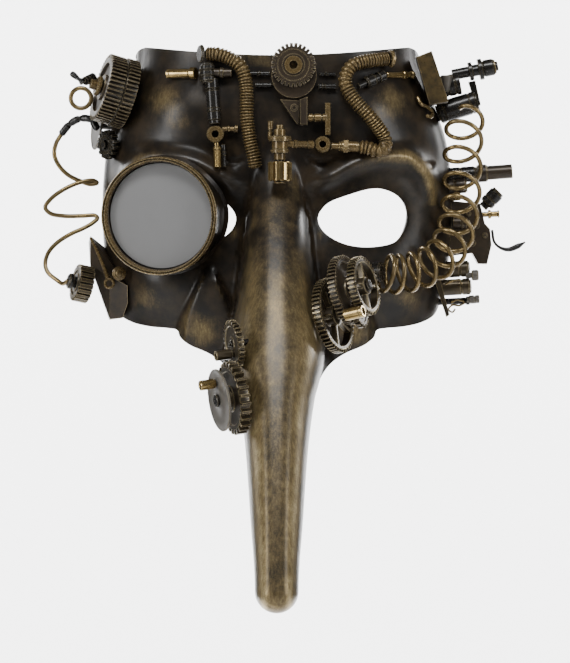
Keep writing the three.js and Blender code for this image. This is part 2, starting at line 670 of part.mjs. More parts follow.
function buildBeakGears() {
  const upper = station(at(BEAK_UPPER.x, BEAK_UPPER.forward, BEAK_UPPER.z), BEAK_AXIS);
  const upperBore = BEAK_UPPER.axle + RUNNING_GAP;
  const upperWheel = gear({ teeth: 29, root: 10.3, tip: 11.75, thickness: 3, bore: upperBore });
  const upperPin = bar(BEAK_UPPER.pin, 2.5, BEAK_UPPER.pinTop, 0, 14).translate(0, -BEAK_UPPER.pinDrop, 0);
  add('beak_upper_gear', join(upperWheel, upperPin), 'antiqueGold', upper);
  addSeated('beak_upper_axle', stepped([[BEAK_UPPER.axle, 24.6]], -20), 'blackPlastic', upper);

  const lower = station(at(BEAK_LOWER.x, BEAK_LOWER.forward, BEAK_LOWER.z), BEAK_AXIS);
  const bore = BEAK_LOWER.axle + RUNNING_GAP;
  const lowerWheel = gear({ teeth: 27, root: 15.6, tip: 18, thickness: 5, bore });
  const hub = bar(BEAK_LOWER.hub, 4.5, BEAK_LOWER.discTop - 0.6, bore, 14);
  const disc = bar(BEAK_LOWER.disc, BEAK_LOWER.discTop - 1.2, BEAK_LOWER.discTop, bore, 28);
  add('beak_lower_gear', join(lowerWheel, hub, disc), 'antiqueGold', lower);
  const face = BEAK_LOWER.discTop + GAP;
  const axle = stepped([[BEAK_LOWER.axle, 20 + face], [3.2, 1.2]], -20);
  addSeated('beak_lower_axle', axle, 'blackPlastic', lower);
  const pin = bar(CRANK_PIN.radius, face, face + CRANK_PIN.length, 0, 16);
  add('beak_crank_pin', pin.translate(0, CRANK_PIN.rise, 0), 'brass', lower);
}

const CHEEK_AXIS = new THREE.Vector3(0.88, -0.42, 0.21);
const GREAT_WHEEL = { x: 27.6, forward: 81, z: -49, windows: 5 };
const TRAIN = { x: 34.4, forward: 82, z: -36.4, axle: 2 };
const POST = { radius: 3, low: 2.45, high: 12.5, across: -12.6, drop: 13.2 };
const SMALL_WHEEL = { across: -1.5, drop: 13, base: 3.5 };

function buildCheekWheels() {
  const great = station(at(GREAT_WHEEL.x, GREAT_WHEEL.forward, GREAT_WHEEL.z), CHEEK_AXIS);
  great.updateMatrixWorld(true);
  // The train's axle passes through the middle of one of the great wheel's windows.
  const axlePlace = great.worldToLocal(at(TRAIN.x, TRAIN.forward, TRAIN.z));
  const turn = Math.atan2(axlePlace.y, axlePlace.x) - Math.PI / GREAT_WHEEL.windows;
  const windows = spokeWindows(GREAT_WHEEL.windows, 5.2, 15.7, 1.8);
  const wheel = gear({ teeth: 50, root: 17.4, tip: 18.9, thickness: 4.4, windows, base: -2.2 }).rotateZ(turn);
  addSeated('cheek_great_wheel', join(wheel, bar(3.4, -16, -1.8, 0, 16)), 'antiqueGold', great);

  const train = station(at(TRAIN.x, TRAIN.forward, TRAIN.z), CHEEK_AXIS);
  const bore = TRAIN.axle + RUNNING_GAP;
  const second = gear({ teeth: 48, root: 15.9, tip: 17.4, thickness: 4.2, bore, base: -2.1 });
  add('cheek_second_wheel', second, 'rustBrown', train);
  const thirdWindows = spokeWindows(4, 4.4, 11.8, 1.9);
  const thirdTeeth = { teeth: 42, root: 13.4, tip: 14.9, thickness: 4, base: 7.4 };
  const third = gear({ ...thirdTeeth, bore, windows: thirdWindows });
  add('cheek_third_wheel', third, 'antiqueGold', train);
  const post = bar(POST.radius, POST.low, POST.high, 0, 16).translate(POST.across, -POST.drop, 0);
  add('cheek_post', post, 'brass', train);
  const smallTeeth = gear({ teeth: 16, root: 5.9, tip: 7.3, thickness: 3, base: SMALL_WHEEL.base });
  const small = join(smallTeeth, bar(3, POST.low, SMALL_WHEEL.base + 1, 0, 14));
  add('cheek_small_wheel', small.translate(SMALL_WHEEL.across, -SMALL_WHEEL.drop, 0), 'rustBrown', train);
  addSeated('cheek_axle', stepped([[TRAIN.axle, 32.8], [3, 1.1]], -21), 'blackPlastic', train);
}

// ---------------------------------------------------------------- right temple and side

const COIL_LINE = [
  at(95.5, 32, 55.5), at(93.8, 32, 39), at(93.2, 32, 19), at(91.6, 33.5, 1.5), at(87.5, 40, -12),
  at(79.8, 50.5, -21.5), at(69, 56, -26.5), at(58.5, 59.6, -28.3), at(51, 59.6, -27.5),
];

// A wire wound round a centre line, with narrow ends that run on to the pieces that hold it.
// Each turn leans, its front ahead of its back along the line, and leans most in the upright part.
class WoundWire extends THREE.Curve {
  constructor(line, turns, radius) {
    super();
    this.line = line;
    this.turns = turns;
    this.radius = radius;
  }

  getPoint(t, target = new THREE.Vector3()) {
    const heading = this.line.getTangent(t).setY(0).normalize();
    const side = new THREE.Vector3().crossVectors(heading, new THREE.Vector3(0, -1, 0));
    const lean = THREE.MathUtils.degToRad(46 - 26 * smoothStep(0.5, 0.8, t));
    const lift = new THREE.Vector3(0, -Math.cos(lean), 0).addScaledVector(heading, -Math.sin(lean));
    const angle = 2 * Math.PI * this.turns * t;
    const reach = this.radius * (0.35 + 0.65 * smoothStep(0, 0.05, Math.min(t, 1 - t)));
    return target.copy(this.line.getPoint(t))
      .addScaledVector(side, reach * Math.cos(angle))
      .addScaledVector(lift, reach * Math.sin(angle));
  }
}

function buildCoil() {
  const line = new THREE.CatmullRomCurve3(COIL_LINE);
  const path = new WoundWire(line, COIL.turns, COIL.radius);
  const section = new THREE.Shape(circlePath(COIL.wire, COIL.sides).getPoints());
  const steps = COIL.turns * COIL.stepsPerTurn;
  const coil = new THREE.ExtrudeGeometry(section, { steps, extrudePath: path, bevelEnabled: false });
  add('coil_spring', coil, 'antiqueGold');
}

function buildRightTemple() {
  const outline = [[69.9, 81.1], [77.7, 84.2], [86.2, 58.6], [76.6, 57]];
  add('temple_plate', seated(plate(outline, 24, 40)), 'rustBrown');
  const tank = stepped([[4.6, 0.9], [5.6, 20], [4.8, 1]], 0, 14);
  const tankPlace = facing(at(81, 17, 53.5), new THREE.Vector3(22, -1, 6.8));
  add('temple_tank', seated(tank.applyMatrix4(tankPlace)), 'blackPlastic');
  const connector = stepped([
    [2.8, 8.6], [4.7, 2], [3, 3], [5.4, 2.2], [4.3, 6], [2.4, 1.8],
  ]).applyMatrix4(facing(at(88.6, 20, 73), new THREE.Vector3(22, 0, 4.4)));
  add('temple_connector', connector, 'blackPlastic');
}

function buildRightSide() {
  const outline = [
    [84, 10], [103, 8], [105.4, -2], [108, -4.8], [108.8, -13], [106.5, -22.6], [101.8, -22.4], [99, -17],
    [84, -19],
  ];
  add('side_block', seated(plate(outline, 2, 15)), 'rustBrown');
  const pipe = stepped([[4, 15], [4.5, 5.4], [3.6, 12.6]]);
  const pipePlace = facing(at(86.4, 13, 22.2), new THREE.Vector3(33, 0, 2.4));
  add('side_pipe', seated(pipe.applyMatrix4(pipePlace)), 'rustBrown');
  const throttle = stepped([[2.4, 2.2], [3.9, 8.4], [3.3, 0.8]]);
  const throttlePlace = facing(at(104.6, 8, 6.4), new THREE.Vector3(1, 0, 1));
  add('side_throttle', throttle.applyMatrix4(throttlePlace), 'blackPlastic');
  const lever = [
    at(109.3, 9, -5.4), at(110.4, 9, -11.2), at(113.5, 9, -14.2), at(117.6, 9, -15.1), at(122, 9, -13.6),
    at(126, 9, -11.4),
  ];
  add('side_lever', sweep(lever, 0.9, 6, 12), 'blackPlastic');
  const drum = (length) => stepped([[4.15, length], [3.4, 0.6]]);
  const along = new THREE.Vector3(1, -0.12, 0.05);
  add('side_drum_upper', seated(drum(14.6).applyMatrix4(facing(at(82.6, 12, -25.6), along))), 'antiqueGold');
  add('side_drum_lower', seated(drum(19).applyMatrix4(facing(at(79, 12, -34.8), along))), 'antiqueGold');
  add('side_drain', seated(between(at(80, 10, -41.9), at(101, 10, -40.9), 1.7, 12)), 'blackPlastic');
  const blade = plate([[78.4, -27.4], [82.4, -31], [87, -48.4], [85.4, -49.6]], 24, 29.5);
  add('side_blade', seated(blade), 'antiqueGold');
}

buildShell();
buildStrapEyelets();
buildGoggle();
buildCrownGear();
buildCrownRods();
buildLeverGroup();
buildLeftPipework();
buildRightPipework();
buildValve();
buildTempleGear();
buildTempleTrim();
buildSideWire();
buildJaw();
buildBeakGears();
buildCheekWheels();
buildCoil();
buildRightTemple();
buildRightSide();

export default mask;
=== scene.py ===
"""Plague doctor mask: the finished surfaces and small trim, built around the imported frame.

Shapes are worked out in millimetres, in the frame's own axes, and turned into metres when a mesh is made.
"""
import json
import math

import bmesh
import bpy
import numpy as np
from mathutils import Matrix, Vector


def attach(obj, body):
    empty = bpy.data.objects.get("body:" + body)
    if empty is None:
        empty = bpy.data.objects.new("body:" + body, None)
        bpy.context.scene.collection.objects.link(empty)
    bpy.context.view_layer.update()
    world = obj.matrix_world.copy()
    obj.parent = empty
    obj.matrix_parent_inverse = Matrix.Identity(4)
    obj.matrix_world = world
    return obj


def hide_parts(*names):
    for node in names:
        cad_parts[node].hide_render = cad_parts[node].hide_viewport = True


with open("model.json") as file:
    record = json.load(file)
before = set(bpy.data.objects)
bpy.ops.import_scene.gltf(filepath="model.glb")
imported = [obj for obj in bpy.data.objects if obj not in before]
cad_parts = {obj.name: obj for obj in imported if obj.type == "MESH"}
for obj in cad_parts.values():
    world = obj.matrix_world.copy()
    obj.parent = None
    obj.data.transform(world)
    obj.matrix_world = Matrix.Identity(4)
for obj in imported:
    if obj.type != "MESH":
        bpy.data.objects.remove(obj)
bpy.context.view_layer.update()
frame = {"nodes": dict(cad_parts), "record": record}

MM = 0.001
MASK = "mask"
WALL = 2.2
HOSE_RADIUS = 3.6
HOSE_LIFT = 5.8
WIRE = 1.15
UP = np.array([0.0, 0.0, 1.0])
FRONT = np.array([0.0, -1.0, 0.0])


# ---------------------------------------------------------------- camera, light and stage

def link(obj):
    bpy.context.scene.collection.objects.link(obj)
    return obj


def add_camera():
    data = bpy.data.cameras.new("camera")
    data.sensor_width = 36
    data.lens = 266
    data.clip_end = 20
    camera = link(bpy.data.objects.new("camera", data))
    camera.location = (0.004, -2.5, -0.0568)
    camera.rotation_euler = (math.radians(90), 0, 0)
    bpy.context.scene.camera = camera


def add_light(name, place, target, size, power):
    data = bpy.data.lights.new(name, "AREA")
    data.shape = "RECTANGLE"
    data.size, data.size_y = size
    data.energy = power
    light = link(bpy.data.objects.new(name, data))
    light.location = place
    direction = Vector(target) - Vector(place)
    light.rotation_euler = direction.to_track_quat("-Z", "Y").to_euler()


def add_stage():
    """A pale floor that curves up into a backdrop."""
    profile = [(-1.6, -0.55), (1.8, -0.55)]
    for step in range(1, 13):
        angle = math.radians(90 * step / 12)
        profile.append((1.8 + 0.35 * math.sin(angle), -0.2 - 0.35 * math.cos(angle)))
    profile.append((2.15, 0.9))
    points = [(x, y, z) for y, z in profile for x in (-0.95, 0.95)]
    faces = [(2 * i, 2 * i + 1, 2 * i + 3, 2 * i + 2) for i in range(len(profile) - 1)]
    mesh = bpy.data.meshes.new("stage")
    mesh.from_pydata(points, [], faces)
    mesh.shade_smooth()
    material = bpy.data.materials.new("stage_white")
    material.use_nodes = True
    shader = material.node_tree.nodes["Principled BSDF"]
    shader.inputs["Base Color"].default_value = (0.9, 0.9, 0.9, 1)
    shader.inputs["Roughness"].default_value = 0.9
    mesh.materials.append(material)
    link(bpy.data.objects.new("stage", mesh))


def add_studio():
    world = bpy.data.worlds.new("studio")
    world.use_nodes = True
    world.node_tree.nodes["Background"].inputs["Color"].default_value = (1, 1, 1, 1)
    world.node_tree.nodes["Background"].inputs["Strength"].default_value = 0.1
    bpy.context.scene.world = world
    centre = (0, -0.07, -0.04)
    add_light("strip_left", (-1.1, -0.85, 0.15), centre, (0.3, 1.0), 9)
    add_light("strip_right", (1.1, -0.85, 0.15), centre, (0.3, 1.0), 8)
    add_light("top", (-0.1, -1.0, 1.15), centre, (0.7, 0.3), 14)
    add_light("backdrop_left", (-1.1, 1.0, 0.5), (0.1, 2.15, 0.05), (0.5, 0.8), 95)
    add_light("backdrop_right", (1.1, 1.0, 0.5), (-0.1, 2.15, 0.05), (0.5, 0.8), 95)


# ---------------------------------------------------------------- materials

class Nodes:
    """Small helper that adds shader nodes and joins them."""

    def __init__(self, name):
        self.material = bpy.data.materials.new(name)
        self.material.use_nodes = True
        self.tree = self.material.node_tree
        self.shader = self.tree.nodes["Principled BSDF"]
        self.place = self.add("ShaderNodeTexCoord").outputs["Object"]

    def add(self, kind, **settings):
        node = self.tree.nodes.new(kind)
        for key, value in settings.items():
            setattr(node, key, value)
        return node

    def feed(self, socket, value):
        if isinstance(value, bpy.types.NodeSocket):
            self.tree.links.new(value, socket)
        else:
            socket.default_value = value

    def math(self, operation, a, b=0.0, clamp=False):
        node = self.add("ShaderNodeMath", operation=operation, use_clamp=clamp)
        self.feed(node.inputs[0], a)
        self.feed(node.inputs[1], b)
        return node.outputs[0]

    def noise(self, scale, detail=3.0, rough=0.55, place=None):
        node = self.add("ShaderNodeTexNoise")
        self.feed(node.inputs["Vector"], self.place if place is None else place)
        node.inputs["Scale"].default_value = scale
        node.inputs["Detail"].default_value = detail
        node.inputs["Roughness"].default_value = rough
        return node.outputs["Fac"]

    def stretch(self, factors):
        node = self.add("ShaderNodeMapping")
        self.feed(node.inputs["Vector"], self.place)
        node.inputs["Scale"].default_value = factors
        return node.outputs["Vector"]

    def span(self, value, low, high, to_low=0.0, to_high=1.0):
        node = self.add("ShaderNodeMapRange", interpolation_type="SMOOTHSTEP")
        self.feed(node.inputs["Value"], value)
        for name, number in zip(("From Min", "From Max", "To Min", "To Max"), (low, high, to_low, to_high)):
            node.inputs[name].default_value = number
        return node.outputs["Result"]

    def swing(self, value, amount):
        """How far a value is from a half, scaled."""
        return self.math("MULTIPLY", self.math("SUBTRACT", value, 0.5), amount)

    def mix(self, factor, a, b):
        node = self.add("ShaderNodeMix", data_type="RGBA")
        self.feed(node.inputs["Factor"], factor)
        for name, colour in (("A", a), ("B", b)):
            self.feed(node.inputs[name], (*colour, 1.0) if isinstance(colour, tuple) else colour)
        return node.outputs["Result"]

    def shade(self, socket, value):
        self.feed(self.shader.inputs[socket], value)

    def bump(self, height, distance, strength=1.0, normal=None):
        node = self.add("ShaderNodeBump")
        node.inputs["Strength"].default_value = strength
        node.inputs["Distance"].default_value = distance
        self.feed(node.inputs["Height"], height)
        if normal is not None:
            self.feed(node.inputs["Normal"], normal)
        return node.outputs["Normal"]

    def edges(self, radius):
        """One along sharp edges, nought on flat and gently curved stretches."""
        bevel = self.add("ShaderNodeBevel", samples=4)
        bevel.inputs["Radius"].default_value = radius
        geometry = self.add("ShaderNodeNewGeometry")
        dot = self.add("ShaderNodeVectorMath", operation="DOT_PRODUCT")
        self.feed(dot.inputs[0], bevel.outputs["Normal"])
        self.feed(dot.inputs[1], geometry.outputs["Normal"])
        return self.span(self.math("SUBTRACT", 1.0, dot.outputs["Value"]), 0.01, 0.16)

    def recesses(self, distance):
        """One in corners and gaps, where shade falls, nought in the open."""
        node = self.add("ShaderNodeAmbientOcclusion", samples=4)
        node.inputs["Distance"].default_value = distance
        return self.span(node.outputs["AO"], 0.8, 0.35)


# Pale gold for rubbed edges and for painted highlights.
PALE_GOLD = (0.68, 0.55, 0.31)
# The darkest brown: a dark tone in the shell's patches, and in the dark bronze finish also the painted shade
# in its recesses.
DARK_BROWN = (0.012, 0.0095, 0.007)


def shell_material():
    """Near-black brown lacquer with antique gold rubbed over the raised areas, and painted highlights in gold
    and pale gold.
    """
    n = Nodes("shell_paint")
    # The gold attribute holds rubbed gold and painted highlights.
    gold = n.add("ShaderNodeAttribute", attribute_name="gold").outputs["Fac"]
    patches = n.noise(95, 4, 0.6)
    speckle = n.noise(1500, 3, 0.7)
    brushed = n.noise(420, 4, 0.65, n.stretch((2.2, 2.2, 0.45)))
    spread = n.math("ADD", gold, n.swing(patches, 0.75))
    spread = n.math("ADD", spread, n.swing(speckle, 0.5))
    spread = n.math("ADD", spread, n.swing(brushed, 0.3))
    amount = n.span(spread, 0.15, 1.2)
    brown = n.mix(n.span(patches, 0.35, 0.7), DARK_BROWN, (0.034, 0.024, 0.014))
    rubbed = n.mix(n.span(brushed, 0.3, 0.75), (0.2, 0.145, 0.065), (0.36, 0.27, 0.125))
    # Pale gold where the gold is thickest: partly rubbed gold, partly painted highlight.
    bright = n.mix(n.span(spread, 0.85, 1.5), rubbed, PALE_GOLD)
    n.shade("Base Color", n.mix(amount, brown, bright))
    n.shade("Metallic", n.math("MULTIPLY", amount, 0.6))
    n.shade("Roughness", n.math("ADD", n.span(amount, 0, 1, 0.33, 0.37), n.swing(brushed, 0.16)))
    n.shade("Specular IOR Level", n.span(gold, -0.35, 0.05, 0.08, 0.42))
    grain = n.bump(speckle, 0.00006, 0.6)
    n.shade("Normal", n.bump(n.noise(60, 2), 0.0005, 0.5, grain))
    return n.material


def painted(name, ground, raised, wear_and_highlight=0.8, cover=0.7, metal=0.75, rough=0.36, patch=140, grit=1.0):
    """Painted shade in the recesses in the dark ground colour, the raised colour over it, and bright edges
    that are partly rubbed gold and partly painted highlight.
    """
    n = Nodes(name)
    patches = n.noise(patch, 3)
    speckle = n.noise(900, 3, 0.6)
    edge = n.math("MULTIPLY", n.edges(0.00045), wear_and_highlight)
    # Painted shade: corners and gaps, where shade falls, take the dark ground colour and lose the raised
    # colour and the bright edges.
    recess_shade = n.recesses(0.0022)
    mottle = n.math("ADD", n.math("MULTIPLY", patches, 0.75), n.math("MULTIPLY", speckle, 0.25))
    film = n.span(mottle, 0.42 - cover * 0.65, 1.12 - cover * 0.65)
    film = n.math("MULTIPLY", film, n.math("SUBTRACT", 1.0, n.math("MULTIPLY", recess_shade, 0.95)))
    base = n.mix(film, ground, raised)
    open_air = n.math("SUBTRACT", 1.0, recess_shade)
    # Pale gold on open edges: partly rubbed gold, partly painted highlight.
    rubbed = n.math("MULTIPLY", n.math("MULTIPLY", edge, open_air), n.span(mottle, 0.25, 0.5))
    n.shade("Base Color", n.mix(rubbed, base, PALE_GOLD))
    shine = n.math("MAXIMUM", n.math("MULTIPLY", film, metal), n.math("MULTIPLY", rubbed, 0.85))
    n.shade("Metallic", shine)
    n.shade("Roughness", n.math("ADD", rough, n.swing(speckle, 0.2 * grit)))
    n.shade("Normal", n.bump(speckle, 0.00003, 0.5 * grit))
    return n.material


def lens_material():
    """Even grey, smooth, with the faintest haze."""
    n = Nodes("lens")
    haze = n.noise(140, 2)
    n.shade("Base Color", n.mix(haze, (0.225, 0.225, 0.225), (0.235, 0.235, 0.235)))
    n.shade("Roughness", n.span(haze, 0, 1, 0.55, 0.62))
    n.shade("Specular IOR Level", 0.06)
    n.shade("Normal", n.bump(haze, 0.00002, 0.3))
    return n.material


FINISHES = {
    "gold_paint": {"ground": (0.012, 0.0085, 0.005), "raised": (0.24, 0.165, 0.068), "cover": 0.55,
                   "rough": 0.27, "grit": 0.6},
    "gold_wire": {"ground": (0.03, 0.021, 0.011), "raised": (0.3, 0.215, 0.095), "wear_and_highlight": 0, "cover": 0.6,
                  "metal": 0.9, "rough": 0.24, "grit": 0.3},
    # Dark, with the brightest edges: partly rubbed gold, partly painted highlight.
    "worn_and_highlighted_gold": {"ground": (0.008, 0.006, 0.004), "raised": (0.085, 0.066, 0.038), "wear_and_highlight": 1, "cover": 0.6,
                  "metal": 0.6, "rough": 0.3, "grit": 0.5},
    "mottled_gold": {"ground": (0.016, 0.012, 0.006), "raised": (0.17, 0.12, 0.05), "wear_and_highlight": 1, "cover": 0.3,
                     "metal": 0.7, "rough": 0.32, "patch": 230, "grit": 1.4},
    "brass": {"ground": (0.05, 0.032, 0.014), "raised": (0.42, 0.295, 0.12), "cover": 0.75, "metal": 0.95,
              "rough": 0.2, "grit": 0.5},
    "dark_bronze": {"ground": DARK_BROWN, "raised": (0.07, 0.052, 0.034), "wear_and_highlight": 0.75, "cover": 0.5, "metal": 0.5,
                    "rough": 0.34},
    "black_plastic": {"ground": (0.006, 0.0058, 0.0054), "raised": (0.018, 0.0155, 0.0125), "wear_and_highlight": 0.3,
                      "cover": 0.5, "metal": 0.2, "rough": 0.27, "grit": 0.3},
    "grey_plastic": {"ground": (0.05, 0.047, 0.042), "raised": (0.12, 0.108, 0.09), "wear_and_highlight": 0.5, "metal": 0.2,
                     "rough": 0.48, "grit": 0.4},
}
MATERIALS = {name: painted(name, **look) for name, look in FINISHES.items()}
MATERIALS["shell_paint"] = shell_material()
MATERIALS["lens"] = lens_material()
NODE_FINISH = {"temple_plate": "mottled_gold", "side_blade": "worn_and_highlighted_gold"}


# ---------------------------------------------------------------- the face's surface, as the frame has it

FACE = {"forward": 58, "set_back": 0.0011, "crest": 30, "wrap": 54, "power": 2.4}
FACE_HALF_WIDTH = [(-60, 79), (-43, 82.7), (-20, 87.5), (0, 89), (20, 88.5), (40, 86), (60, 79.5), (86, 71.5)]
TOP_DIP = 5.5
NOSE_HALF_WIDTH = [(-182, 10.6), (-146, 13), (-125, 14.5), (-109, 16), (-90, 18.8), (-81, 21.2), (-66, 24),
                   (-40, 20), (0, 15), (30, 11)]
NOSE_DEPTH = [(-182, 20), (-150, 30), (-120, 38), (-81, 52), (-60, 58), (-30, 42), (0, 26), (30, 20)]
TIP = -182
TOP_CORNER = [(66.5, 86.7), (70, 85.9), (72.2, 84)]
LOWER_EDGE = [(79.6, -48.5), (73, -52.2), (64, -54.3), (54.5, -55.2), (50, -56.2), (48.8, -59.4), (44, -63.4),
              (34.5, -67.6), (27.8, -72), (24, -76.2)]
BROW_LINE = [(12, 13), (27, 19.5), (42, 27.5), (57, 30.5), (67, 30), (75, 23), (78.5, 13), (79, 3)]
EYE = [(20.5, 0), (24.5, 6.5), (35, 11.2), (51, 14.7), (61.8, 10), (65.6, 2), (60.5, -10.8), (47, -14.5),
       (33, -12.7), (23, -6.5)]


def cubic(t, start, end, start_slope, end_slope):
    """The curve that leaves one value and reaches another with the given slopes, for t from nought to one."""
    return ((2 * t**3 - 3 * t**2 + 1) * start + (3 * t**2 - 2 * t**3) * end
            + (t**3 - 2 * t**2 + t) * start_slope + (t**3 - t**2) * end_slope)


def through(pairs, place):
    """Smooth curve through (position, value) pairs in rising order, level beyond both ends."""
    xs, ys = np.array(pairs, float).T
    slopes = np.zeros(len(xs))
    slopes[1:-1] = (ys[2:] - ys[:-2]) / (xs[2:] - xs[:-2])
    place = np.clip(place, xs[0], xs[-1])
    i = np.clip(np.searchsorted(xs, place, side="right") - 1, 0, len(xs) - 2)
    span = xs[i + 1] - xs[i]
    return cubic((place - xs[i]) / span, ys[i], ys[i + 1], span * slopes[i], span * slopes[i + 1])


def smooth_max(a, b, reach):
    overlap = np.maximum(reach - np.abs(a - b), 0) / reach
    return np.maximum(a, b) + overlap**2 * reach / 4


def smooth_step(low, high, value):
    t = np.clip((value - low) / (high - low), 0, 1)
    return t * t * (3 - 2 * t)


def crown(ratio, power):
    return (1 - np.minimum(ratio, 1) ** power) ** (1 / power)


def mound(x, z, x0, z0, width, height):
    return np.exp(-((x - x0) / width) ** 2 - ((z - z0) / height) ** 2)


def spline(points, place, closed=False):
    """Points on a smooth curve through the given ones, at places from nought to one along them."""
    points = np.array(points, float)
    count = len(points) if closed else len(points) - 1
    run = np.asarray(place, float) * count
    part = np.clip(np.floor(run).astype(int), 0, count - 1)
    t = (run - part)[:, None]
    if closed:
        padded = np.vstack([points[-1], points, points[0], points[1]])
    else:
        padded = np.vstack([2 * points[0] - points[1], points, 2 * points[-1] - points[-2]])
    a, b, c, d = (padded[part + k] for k in range(4))
    before, reach, after = (np.linalg.norm(q - p, axis=1)[:, None] ** 0.5
                            for p, q in ((a, b), (b, c), (c, d)))
    start = ((b - a) / before - (c - a) / (before + reach) + (c - b) / reach) * reach
    end = ((c - b) / reach - (d - b) / (reach + after) + (d - c) / after) * reach
    return cubic(t, b, c, start, end)


def curve_points(points, count, closed=False):
    """Evenly spaced points on a smooth curve through the given ones."""
    dense = spline(points, np.linspace(0, 1, 24 * len(points) + 1), closed)
    along = np.concatenate([[0], np.cumsum(np.linalg.norm(np.diff(dense, axis=0), axis=1))])
    marks = np.linspace(0, along[-1], count, endpoint=not closed)
    return np.stack([np.interp(marks, along, axis) for axis in dense.T], axis=1)


BROW_POINTS = curve_points(BROW_LINE, 81)


def brow_distance(x, z):
    """Distance to the brow's line, and how far along it the nearest point lies."""
    across = np.asarray(x)[..., None] - BROW_POINTS[:, 0]
    upward = np.asarray(z)[..., None] - BROW_POINTS[:, 1]
    gaps = np.hypot(across, upward)
    return gaps.min(-1), gaps.argmin(-1) / (len(BROW_POINTS) - 1)


def brow(x, z):
    distance, along = brow_distance(x, z)
    fade = smooth_step(0, 0.2, along) * smooth_step(0, 0.25, 1 - along)
    return 6.5 * fade * np.exp(-((distance / 5.2) ** 2))


def nose_wing(x, z):
    reach = 3 + 12 * smooth_step(-22, -58, z)
    across = np.abs(x - 34) / reach
    return 5 * smooth_step(-22, -34, z) * (1 - smooth_step(0.75, 1.15, across))


def frown(x, z):
    """Two shallow creases that meet in a V above the bridge."""
    line = np.abs(z - 27 - 0.34 * np.abs(x - 22))
    return -1.3 * np.exp(-((line / 1.5) ** 2)) * (1 - smooth_step(5, 9, np.abs(x - 22)))


def face(x, z):
    side = np.abs(x)
    forward = FACE["forward"] - FACE["set_back"] * (z - FACE["crest"]) ** 2
    forward = forward - FACE["wrap"] * (1 - crown(side / through(FACE_HALF_WIDTH, z), FACE["power"]))
    forward = forward + brow(side, z) - 8 * mound(side, z, 42, 0, 26, 18)
    forward = forward + 4 * mound(side, z, 64, -32, 18, 14) + 4 * mound(side, z, 50, 54, 20, 13)
    return forward + nose_wing(side, z) + frown(side, z)


def nose(x, z):
    level = np.maximum(z, TIP)
    ridge = 58 + 150 * (1 - np.exp((level - 24) / 190))
    half_width = through(NOSE_HALF_WIDTH, level)
    ratio = np.hypot(x, z - level) / half_width
    overhang = np.maximum(ratio - 1, 0) * half_width * 4
    return ridge - through(NOSE_DEPTH, level) * (1 - crown(ratio, 2.6)) - overhang


def forward_at(x, z):
    return smooth_max(face(x, z), nose(x, z), 12)


def on(x, z, lift):
    """A point a given height in front of the shell."""
    x, z = float(x), float(z)
    return np.array([x, -float(forward_at(np.array(x), np.array(z))) - lift, z])


def at(x, forward, z):
    return np.array([x, -forward, z], float)


# ---------------------------------------------------------------- solids

class Solid:
    """Points in millimetres and the faces between them."""

    def __init__(self, points, faces):
        self.points = np.asarray(points, float)
        self.faces = faces

    def __add__(self, other):
        shift = len(self.points)
        moved = [tuple(i + shift for i in face_) for face_ in other.faces]
        return Solid(np.vstack([self.points, other.points]), self.faces + moved)

    def moved(self, x=0.0, y=0.0, z=0.0):
        return Solid(self.points + np.array([x, y, z]), self.faces)

    def turned(self, degrees):
        c, s = math.cos(math.radians(degrees)), math.sin(math.radians(degrees))
        spin = np.array([[c, -s, 0], [s, c, 0], [0, 0, 1]])
        return Solid(self.points @ spin.T, self.faces)

    def placed(self, origin, direction):
        return Solid(np.asarray(origin) + self.points @ basis(direction), self.faces)


def basis(direction):
    """Rows are a piece's own axes: its Z along the direction and its Y as upright as it goes."""
    along = np.asarray(direction, float) / np.linalg.norm(direction)
    upright = np.array([0.0, 1.0, 0.0]) if abs(along[2]) > 0.99 else UP
    across = np.cross(upright, along)
    across /= np.linalg.norm(across)
    return np.array([across, np.cross(along, across), along])


def grid_faces(rows, columns, ring=True, loop=False):
    """Faces of a grid of points, round its columns if ring is set, and back to the first row if loop is."""
    faces = []
    for j in range(rows if loop else rows - 1):
        below = (j + 1) % rows
        for i in range(columns if ring else columns - 1):
            beside = (i + 1) % columns
            faces.append((j * columns + i, j * columns + beside,
                          below * columns + beside, below * columns + i))
    return faces


def lathe(profile, sides=48, loop=False):
    """A profile of (radius, height) turned round Z, rising on the outside."""
    angles = np.linspace(0, 2 * math.pi, sides, endpoint=False)
    rings = [np.stack([r * np.cos(angles), r * np.sin(angles), np.full(sides, h)], 1) for r, h in profile]
    return Solid(np.vstack(rings), grid_faces(len(profile), sides, True, loop))


def turned(steps, start=0.0, chamfer=0.25, sides=40, hollow=None):
    """A stepped shaft of (radius, length) steps with chamfered corners, and a blind (radius, depth) bore."""
    profile = [(0, start)]
    height = start
    for radius, length in steps:
        cut = min(chamfer, radius * 0.3, length * 0.3)
        profile += [(radius - cut, height), (radius, height + cut), (radius, height + length - cut),
                    (radius - cut, height + length)]
        height += length
    if hollow:
        bore, depth = hollow
        profile += [(bore + 0.2, height), (bore, height - 0.2), (bore, height - depth)]
        height -= depth
    profile.append((0, height))
    return lathe(profile, sides)


def ring_bar(inner, outer, low, high, chamfer=0.2, sides=48):
    c = chamfer
    return lathe([(inner + c, low), (outer - c, low), (outer, low + c), (outer, high - c), (outer - c, high),
                  (inner + c, high), (inner, high - c), (inner, low + c)], sides, loop=True)


# Where a tooth's flanks start and end, in parts of one pitch.
BROAD_TOOTH = (0.04, 0.16, 0.76, 0.88)
PLAIN_TOOTH = (0.06, 0.2, 0.6, 0.74)
THIN_TOOTH = (0.1, 0.2, 0.48, 0.58)


